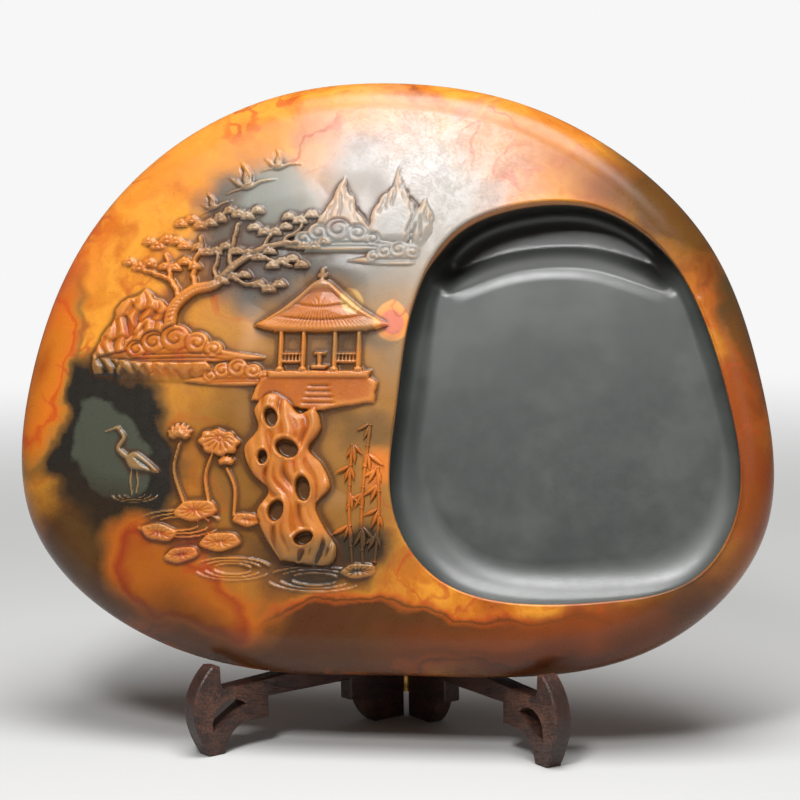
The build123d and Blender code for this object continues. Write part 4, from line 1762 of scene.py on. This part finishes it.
@dataclass
class Stand:
    """The folding stand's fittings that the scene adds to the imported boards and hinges."""

    half_angle: float = 42.0
    hinge_setback: float = 29.5
    hinge_bases: tuple[float, float] = (12.0, 66.0)
    hinge_height: float = 24.0
    rear_edge: float = 1.0
    screw_offset: float = 5.0
    screw_spacing: float = 15.0
    head_radius: float = 1.66
    shank_radius: float = 0.84
    leaf_thickness: float = 1.0
    screw_length: float = 8.0
    slot_width: float = 0.42
    slot_depth: float = 0.45
    bevel: float = 0.08
    tip_radius: float = 0.12
    turns: int = 28
    twist_seed: int = 5

    def screw(self) -> bpy.types.Object:
        """One slotted countersunk screw, its head's face at the origin and its shank along +Z.

        Returns:
            The screw as a closed mesh, for placing by Geometry Nodes.
        """
        face_radius = self.head_radius - self.bevel
        shank_end = self.screw_length - self.shank_radius
        profile = (
            (face_radius, 0.0), (self.head_radius, self.bevel), (self.head_radius - 0.1, 0.22),
            (self.shank_radius, self.leaf_thickness), (self.shank_radius, shank_end),
            (self.tip_radius, self.screw_length),
        )
        mesh = bmesh.new()
        angles = [2 * math.pi * k / self.turns for k in range(self.turns)]
        rings = [
            [mesh.verts.new((r * math.cos(a), r * math.sin(a), z)) for a in angles]
            for r, z in profile
        ]
        for a, b in zip(rings[:-1], rings[1:]):
            for k in range(self.turns):
                after = (k + 1) % self.turns
                mesh.faces.new((a[k], a[after], b[after], b[k]))
        mesh.faces.new(rings[-1])
        half = self.slot_width / 2
        x = math.sqrt(face_radius**2 - half**2)
        rim = rings[0]
        sides = []
        for sign in (1, -1):
            row = sorted((v for v in rim if v.co.y * sign > half), key=lambda v: v.co.x)
            top, deep = (
                [mesh.verts.new((end * x, sign * half, z)) for end in (-1, 1)]
                for z in (0, self.slot_depth)
            )
            mesh.faces.new([top[0], *row, top[1]])
            mesh.faces.new([top[0], top[1], deep[1], deep[0]])
            sides.append((top, deep))
        (upper, upper_deep), (lower, lower_deep) = sides
        mesh.faces.new([*upper_deep, *reversed(lower_deep)])
        for end in (0, 1):
            near = [v for v in rim if abs(v.co.y) <= half and (v.co.x > 0) == (end == 1)]
            near.sort(key=lambda v: v.co.y)
            chain = [lower[end], *near, upper[end]]
            mesh.faces.new([*chain, upper_deep[end], lower_deep[end]])
        bmesh.ops.recalc_face_normals(mesh, faces=mesh.faces)
        bmesh.ops.scale(mesh, vec=(MM, MM, MM), verts=mesh.verts)
        data = bpy.data.meshes.new("slotted_screw")
        mesh.to_mesh(data)
        mesh.free()
        return add_object("slotted_screw", data)

    def seats(self, side: Side) -> list[tuple[Vector, Vector]]:
        """Where each screw of one board sits, and which way it goes in."""
        angle = math.radians(self.half_angle)
        along = Vector((side.value * math.sin(angle), -math.cos(angle), 0))
        outward = Vector((side.value * math.cos(angle), math.sin(angle), 0))
        out = []
        for base in self.hinge_bases:
            middle = base + self.hinge_height / 2
            for sign in (-1, 1):
                p = Vector((0, self.hinge_setback, middle + sign * self.screw_spacing / 2))
                out.append(((p + along * self.rear_edge + outward * self.screw_offset) * MM, along))
        return out

    def screws(self, side: Side, material: bpy.types.Material) -> bpy.types.Object:
        """Set the screws of one board with Geometry Nodes.

        Args:
            side: Which board.
            material: The screws' finish.

        Returns:
            One mesh with the board's four screws.
        """
        screw = self.screw()
        side_name = side.name.lower()
        seats = self.seats(side)
        points = [tuple(p) for p, _ in seats]
        holder = new_mesh(f"{side_name}_slotted_screws", points, [], smooth=False)
        turn = seats[0][1].to_track_quat("Z", "Y").to_euler()
        s, i, o = group(
            f"set_screws_{side_name}",
            {"Geometry": "Geometry", "Screw": "Object", "Direction": "Vector", "Twist": "Float"},
            {"Geometry": "Geometry"},
            "GeometryNodeTree",
        )
        info = s.add("GeometryNodeObjectInfo", {"Object": i.outputs["Screw"]})
        inputs = {3: i.outputs["Twist"], "Seed": self.twist_seed}
        spin = s.add("FunctionNodeRandomValue", inputs, data_type="FLOAT")
        whole = s.add("ShaderNodeCombineXYZ", {2: spin.outputs[1]})
        base = s.add("FunctionNodeEulerToRotation", {0: i.outputs["Direction"]})
        local = s.add("FunctionNodeEulerToRotation", {0: whole.outputs[0]})
        inputs = {0: base.outputs[0], 1: local.outputs[0]}
        both = s.add("FunctionNodeRotateRotation", inputs, rotation_space="LOCAL")
        place = s.instances(i.outputs["Geometry"], info.outputs["Geometry"], both.outputs[0])
        real = s.add("GeometryNodeRealizeInstances", {0: place})
        paint = s.add("GeometryNodeSetMaterial", {0: real.outputs[0], "Material": material})
        s.feed(o, {0: paint.outputs[0]})
        values = {"Screw": screw, "Direction": tuple(turn), "Twist": math.pi}
        piece = run_nodes(holder, s.tree, values)
        bpy.data.objects.remove(screw)
        return piece


@dataclass
class Bamboo:
    """Bamboo by the pierced rock: stalks, joints and leaves that Geometry Nodes set on the face."""

    block: Block
    stalks: tuple[tuple[Point2, ...], ...] = (
        ((-6.0, -92.0), (-7.4, -62.0), (-4.6, -27.0)),
        ((-11.0, -90.0), (-13.2, -62.0), (-12.6, -36.0)),
        ((-1.0, -88.0), (0.4, -68.0), (-0.6, -46.0)),
    )
    stalk_radius: float = 0.75
    joint_radius: float = 1.05
    joint_spacing: float = 8.6
    leaf_length: float = 9.4
    leaf_width: float = 2.7
    leaf_rise: float = 0.75
    lift: float = 0.35
    stalk_steps: int = 24
    leaf_stations: int = 8
    seed: int = 11

    def leaf(self) -> bpy.types.Object:
        """One pointed leaf with a raised rib, its stem at the origin and its tip along +X."""
        points: list[Point3] = []
        for t in np.linspace(0, 1, self.leaf_stations + 1):
            belly = 0.12 + 0.88 * math.sin(math.pi * min(1.0, t * 0.98 + 0.02)) ** 0.8
            half = self.leaf_width / 2 * belly * (1 - t**5)
            x = self.leaf_length * t
            bend = -0.5 * t * t
            rib = self.leaf_rise * (1 - 0.7 * t)
            points += [
                (x, bend - half, 0.05), (x, bend, rib), (x, bend + half, 0.05), (x, bend, -0.3)
            ]
        faces = []
        for a in range(0, 4 * self.leaf_stations, 4):
            for k in range(4):
                after = (k + 1) % 4
                faces.append((a + k, a + 4 + k, a + 4 + after, a + after))
        last = 4 * self.leaf_stations
        faces += [(0, 1, 2, 3), (last + 3, last + 2, last + 1, last)]
        piece = new_mesh("bamboo_leaf", np.array(points) * MM, faces)
        tidy = bmesh.new()
        tidy.from_mesh(piece.data)
        bmesh.ops.recalc_face_normals(tidy, faces=tidy.faces)
        tidy.to_mesh(piece.data)
        tidy.free()
        return piece

    def leaf_places(self) -> list[tuple[Point2, float, float]]:
        """Stem, direction in degrees and size of every leaf, in hanging tufts up the stalks."""
        chance = np.random.default_rng(self.seed)
        out = []
        for number, line in enumerate(self.stalks):
            path = smooth_line(line, self.stalk_steps)
            for k in range(8, self.stalk_steps, 5):
                side = 1 if (k // 5 + number) % 2 else -1
                if path[k][0] > -3 and side > 0:
                    side = -1
                for spread in (-38.0, -72.0, -104.0):
                    turn = spread + chance.uniform(-9, 9)
                    direction = turn if side > 0 else 180.0 - turn
                    start = (path[k][0] + side * 0.5, path[k][1] + chance.uniform(-0.8, 0.8))
                    out.append((start, direction, chance.uniform(0.72, 1.0)))
        return out

    def grow(self) -> bpy.types.Object:
        """Run the Geometry Nodes and keep the result.

        Returns:
            The bamboo as one mesh.
        """
        leaf = self.leaf()
        values = {
            "Leaf": leaf,
            "Stalk radius": self.stalk_radius * MM,
            "Joint radius": self.joint_radius * MM,
            "Joint spacing": self.joint_spacing * MM,
            "Material": bpy.data.materials["ink_stone_skin"],
        }
        piece = run_nodes(self.skeleton(), self.nodes(), values)
        bpy.data.objects.remove(leaf)
        total = len(piece.data.vertices)
        set_attribute(piece, "skin", np.ones(total))
        # A hollow of 0.2 gives the bamboo a faint painted highlight in the finish.
        set_attribute(piece, "hollow", np.full(total, 0.2))
        return piece

    def skeleton(self) -> bpy.types.Object:
        """The stalks as lines of edges, and a vertex for every leaf with its turn and size."""
        paths = [smooth_line(line, self.stalk_steps) for line in self.stalks]
        edges = [
            (n * self.stalk_steps + k, n * self.stalk_steps + k + 1)
            for n in range(len(paths))
            for k in range(self.stalk_steps - 1)
        ]
        stems = self.leaf_places()
        tilt = Matrix.Rotation(math.radians(90 - self.block.lean), 3, "X")
        turns = [
            tuple((tilt @ Matrix.Rotation(math.radians(a), 3, "Z")).to_euler()) for _, a, _ in stems
        ]
        u, v = np.array([p for path in paths for p in path] + [p for p, _, _ in stems]).T
        points = self.block.place(u, v, self.block.dome(u, v) + self.lift)
        mesh = bpy.data.meshes.new("bamboo")
        mesh.from_pydata(points.tolist(), edges, [])
        holder = add_object("bamboo", mesh)
        on_stalk = len(points) - len(stems)
        set_attribute(holder, "is_leaf", np.arange(len(points)) >= on_stalk, "BOOLEAN")
        set_attribute(holder, "turn", [(0.0, 0.0, 0.0)] * on_stalk + turns, "FLOAT_VECTOR")
        set_attribute(holder, "size", [1.0] * on_stalk + [size for _, _, size in stems])
        return holder

    @staticmethod
    def nodes() -> bpy.types.NodeTree:
        """The Geometry Nodes that sweep the stalks and set their joints and leaves."""
        lengths = ("Stalk radius", "Joint radius", "Joint spacing")
        inputs = {"Geometry": "Geometry", "Leaf": "Object", **dict.fromkeys(lengths, "Float")}
        inputs["Material"] = "Material"
        s, i, o = group("grow_bamboo", inputs, {"Geometry": "Geometry"}, "GeometryNodeTree")

        def named(name: str, kind: str) -> Socket:
            return s.add(
                "GeometryNodeInputNamedAttribute", {"Name": name}, data_type=kind
            ).outputs[0]

        inputs = {0: i.outputs["Geometry"], "Selection": named("is_leaf", "BOOLEAN")}
        parts = s.add("GeometryNodeSeparateGeometry", inputs)
        curve = s.add("GeometryNodeMeshToCurve", {0: parts.outputs[1]}).outputs[0]
        inputs = {"Resolution": 10, "Radius": i.outputs["Stalk radius"]}
        ring = s.add("GeometryNodeCurvePrimitiveCircle", inputs).outputs[0]
        inputs = {0: curve, "Profile Curve": ring, "Fill Caps": True}
        tube = s.add("GeometryNodeCurveToMesh", inputs).outputs[0]
        inputs = {0: curve, "Length": i.outputs["Joint spacing"]}
        steps = s.add("GeometryNodeCurveToPoints", inputs, mode="LENGTH")
        inputs = {"Segments": 12, "Rings": 7, "Radius": i.outputs["Joint radius"]}
        inputs = {
            "Points": steps.outputs[0],
            "Instance": s.add("GeometryNodeMeshUVSphere", inputs).outputs[0],
            "Rotation": steps.outputs["Rotation"],
            "Scale": (1.0, 1.0, 0.5),
        }
        knobs = s.add("GeometryNodeInstanceOnPoints", inputs).outputs[0]
        leaf = s.add("GeometryNodeObjectInfo", {"Object": i.outputs["Leaf"]}).outputs["Geometry"]
        facing, size = named("turn", "FLOAT_VECTOR"), named("size", "FLOAT")
        leaves = s.instances(parts.outputs[0], leaf, facing, size)
        both = s.add("GeometryNodeJoinGeometry")
        for source in (leaves, knobs, tube):
            s.feed(both, {0: source})
        real = s.add("GeometryNodeRealizeInstances", {0: both.outputs[0]}).outputs[0]
        inputs = {0: real, "Material": i.outputs["Material"]}
        s.feed(o, {0: s.add("GeometryNodeSetMaterial", inputs).outputs[0]})
        return s.tree


def dress(piece: bpy.types.Object, material: bpy.types.Material, body: str, slot: Slot) -> None:
    """Give a new piece its material and body."""
    piece.data.materials.clear()
    piece.data.materials.append(material)
    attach(piece, body)
    log.info("%s: %d faces on %s", piece.name, len(piece.data.polygons), body)


@dataclass(frozen=True)
class Lamp:
    """A square soft lamp: its place and aim and its size in metres, and its power in watts."""

    name: str
    place: Point3
    aim: Point3
    size: float
    power: float

    def build(self) -> None:
        """Add the lamp."""
        data = bpy.data.lights.new(self.name, "AREA")
        data.size = self.size
        data.energy = self.power
        lamp = add_object(self.name, data)
        lamp.location = self.place
        way = Vector(self.aim) - Vector(self.place)
        lamp.rotation_euler = way.to_track_quat("-Z", "Y").to_euler()


@dataclass(frozen=True)
class Studio:
    """Plain pale floor, soft lamps and the camera."""

    camera_place: Point3 = (0.1805, -1.0394, 0.2832)
    yaw: float = 9.65
    pitch: float = 6.91
    roll: float = -0.76
    lens: float = 104.4
    floor_tone: Colour = (0.54, 0.54, 0.53)
    world_tone: Colour = (0.78, 0.79, 0.80)
    backdrop_tone: Colour = (0.93, 0.93, 0.93)
    world_strength: float = 0.15
    floor_fade: Point2 = (0.35, 1.6)
    lamps: tuple[Lamp, ...] = (
        Lamp("soft_key", (-0.134, -0.904, 1.033), (0.018, 0.008, 0.25), 0.28, 10.5),
        Lamp("soft_top", (0.15, -0.35, 1.55), (0.05, 0.0, 0.15), 0.9, 29.0),
        Lamp("soft_side", (1.3, -0.7, 0.7), (0.0, 0.0, 0.15), 0.6, 1.0),
    )

    def build(self) -> None:
        """Add the floor, the world, the lamps and the camera."""
        self.floor()
        self.world()
        for lamp in self.lamps:
            lamp.build()
        self.camera()

    def floor(self) -> None:
        """A broad floor that shows white to the camera and still keeps the shadow."""
        corners = [(-6, -6, 0), (6, -6, 0), (6, 8, 0), (-6, 8, 0)]
        floor = new_mesh("floor", corners, [(0, 1, 2, 3)], smooth=False)
        material, s, shader, coordinates = new_material("floor_paper")
        far = s.range(s.vector("LENGTH", coordinates), *self.floor_fade)
        seen = s.math("MULTIPLY", far, s.add("ShaderNodeLightPath").outputs["Is Camera Ray"])
        paper = s.noise(coordinates, 900.0, 3.0).outputs[0]
        tone = s.mix(paper, tuple(c * 0.97 for c in self.floor_tone), self.floor_tone)
        black = (0.0, 0.0, 0.0)
        s.feed(shader, {
            "Base Color": s.mix(seen, tone, black),
            "Emission Color": s.mix(seen, black, self.backdrop_tone),
            "Emission Strength": 1.0,
            "Roughness": 0.9,
            "Specular IOR Level": 0.0,
        })
        floor.data.materials.append(material)

    def world(self) -> None:
        """Even light all round, white to the camera."""
        world = bpy.data.worlds.new("studio")
        bpy.context.scene.world = world
        world.use_nodes = True
        s = Sheet(world.node_tree)
        world.node_tree.nodes.clear()
        inputs = {0: s.add("ShaderNodeLightPath").outputs["Is Camera Ray"]}
        tones = ((self.world_tone, self.world_strength), (self.backdrop_tone, 1.0))
        for k, (tone, strength) in enumerate(tones, 1):
            sky = s.add("ShaderNodeBackground", {0: (*tone, 1.0), 1: strength})
            inputs[k] = sky.outputs[0]
        mixed = s.add("ShaderNodeMixShader", inputs)
        s.add("ShaderNodeOutputWorld", {0: mixed.outputs[0]})

    def camera(self) -> None:
        """Stand the camera where the photograph was taken from."""
        yaw, pitch, roll = (math.radians(a) for a in (self.yaw, self.pitch, self.roll))
        back = Vector((math.sin(yaw), -math.cos(yaw), 0))
        right = Vector((math.cos(yaw), math.sin(yaw), 0))
        ahead = -back * math.cos(pitch) - Vector((0, 0, 1)) * math.sin(pitch)
        up = right.cross(ahead)
        right_rolled = right * math.cos(roll) + up * math.sin(roll)
        up_rolled = -right * math.sin(roll) + up * math.cos(roll)
        data = bpy.data.cameras.new("view")
        data.lens = self.lens
        data.sensor_width = 36.0
        data.clip_end = 50
        camera = add_object("view", data)
        turn = Matrix((right_rolled, up_rolled, -ahead)).transposed()
        camera.matrix_world = Matrix.Translation(self.camera_place) @ turn.to_4x4()
        bpy.context.scene.camera = camera


def repaint(node: bpy.types.Object, material: bpy.types.Material) -> None:
    """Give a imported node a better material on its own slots."""
    if not node.material_slots:
        node.data.materials.append(material)
    for slot in node.material_slots:
        slot.material = material
    log.info("%s: dressed", node.name)


def main() -> None:
    """Load the frame, build each sub-assembly, and set up the studio."""
    logging.basicConfig(level=logging.INFO, format="%(message)s")
    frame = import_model()
    bpy.context.scene.view_settings.view_transform = "Standard"
    effects = Effects()
    stone = Stone()
    stone_skin = StoneFinish().build(effects, stone.block)
    body = stone.body()
    dress(body, stone_skin, "block", Slot.STONE)
    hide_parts("stone")
    face = stone.carved_face()
    dress(face, stone_skin, "block", Slot.STONE)
    bamboo = Bamboo(stone.block).grow()
    dress(bamboo, stone_skin, "block", Slot.STONE)
    stand = Stand()
    nodes = frame["nodes"]
    for side in Side:
        repaint(nodes[f"{side.name.lower()}_leg"], WoodFinish(side).build(effects, stand))
    hinge = BrassFinish("hinge_brass").build(effects)
    for name in ("lower_left_leaf", "lower_right_leaf", "upper_left_leaf", "upper_right_leaf"):
        repaint(nodes[name], hinge)
    pin = BrassFinish("pin_brass", roughness=0.24).build(effects)
    for name in ("lower_pin", "upper_pin"):
        repaint(nodes[name], pin)
    screw_metal = BrassFinish("screw_brass", bright=srgb(208, 168, 100)).build(effects)
    for side in Side:
        name = side.name.lower()
        screws = stand.screws(side, screw_metal)
        dress(screws, screw_metal, f"{name}_side", Slot.SCREW)
        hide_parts(f"{name}_screws")
    Studio().build()


if __name__ == "__main__":
    main()
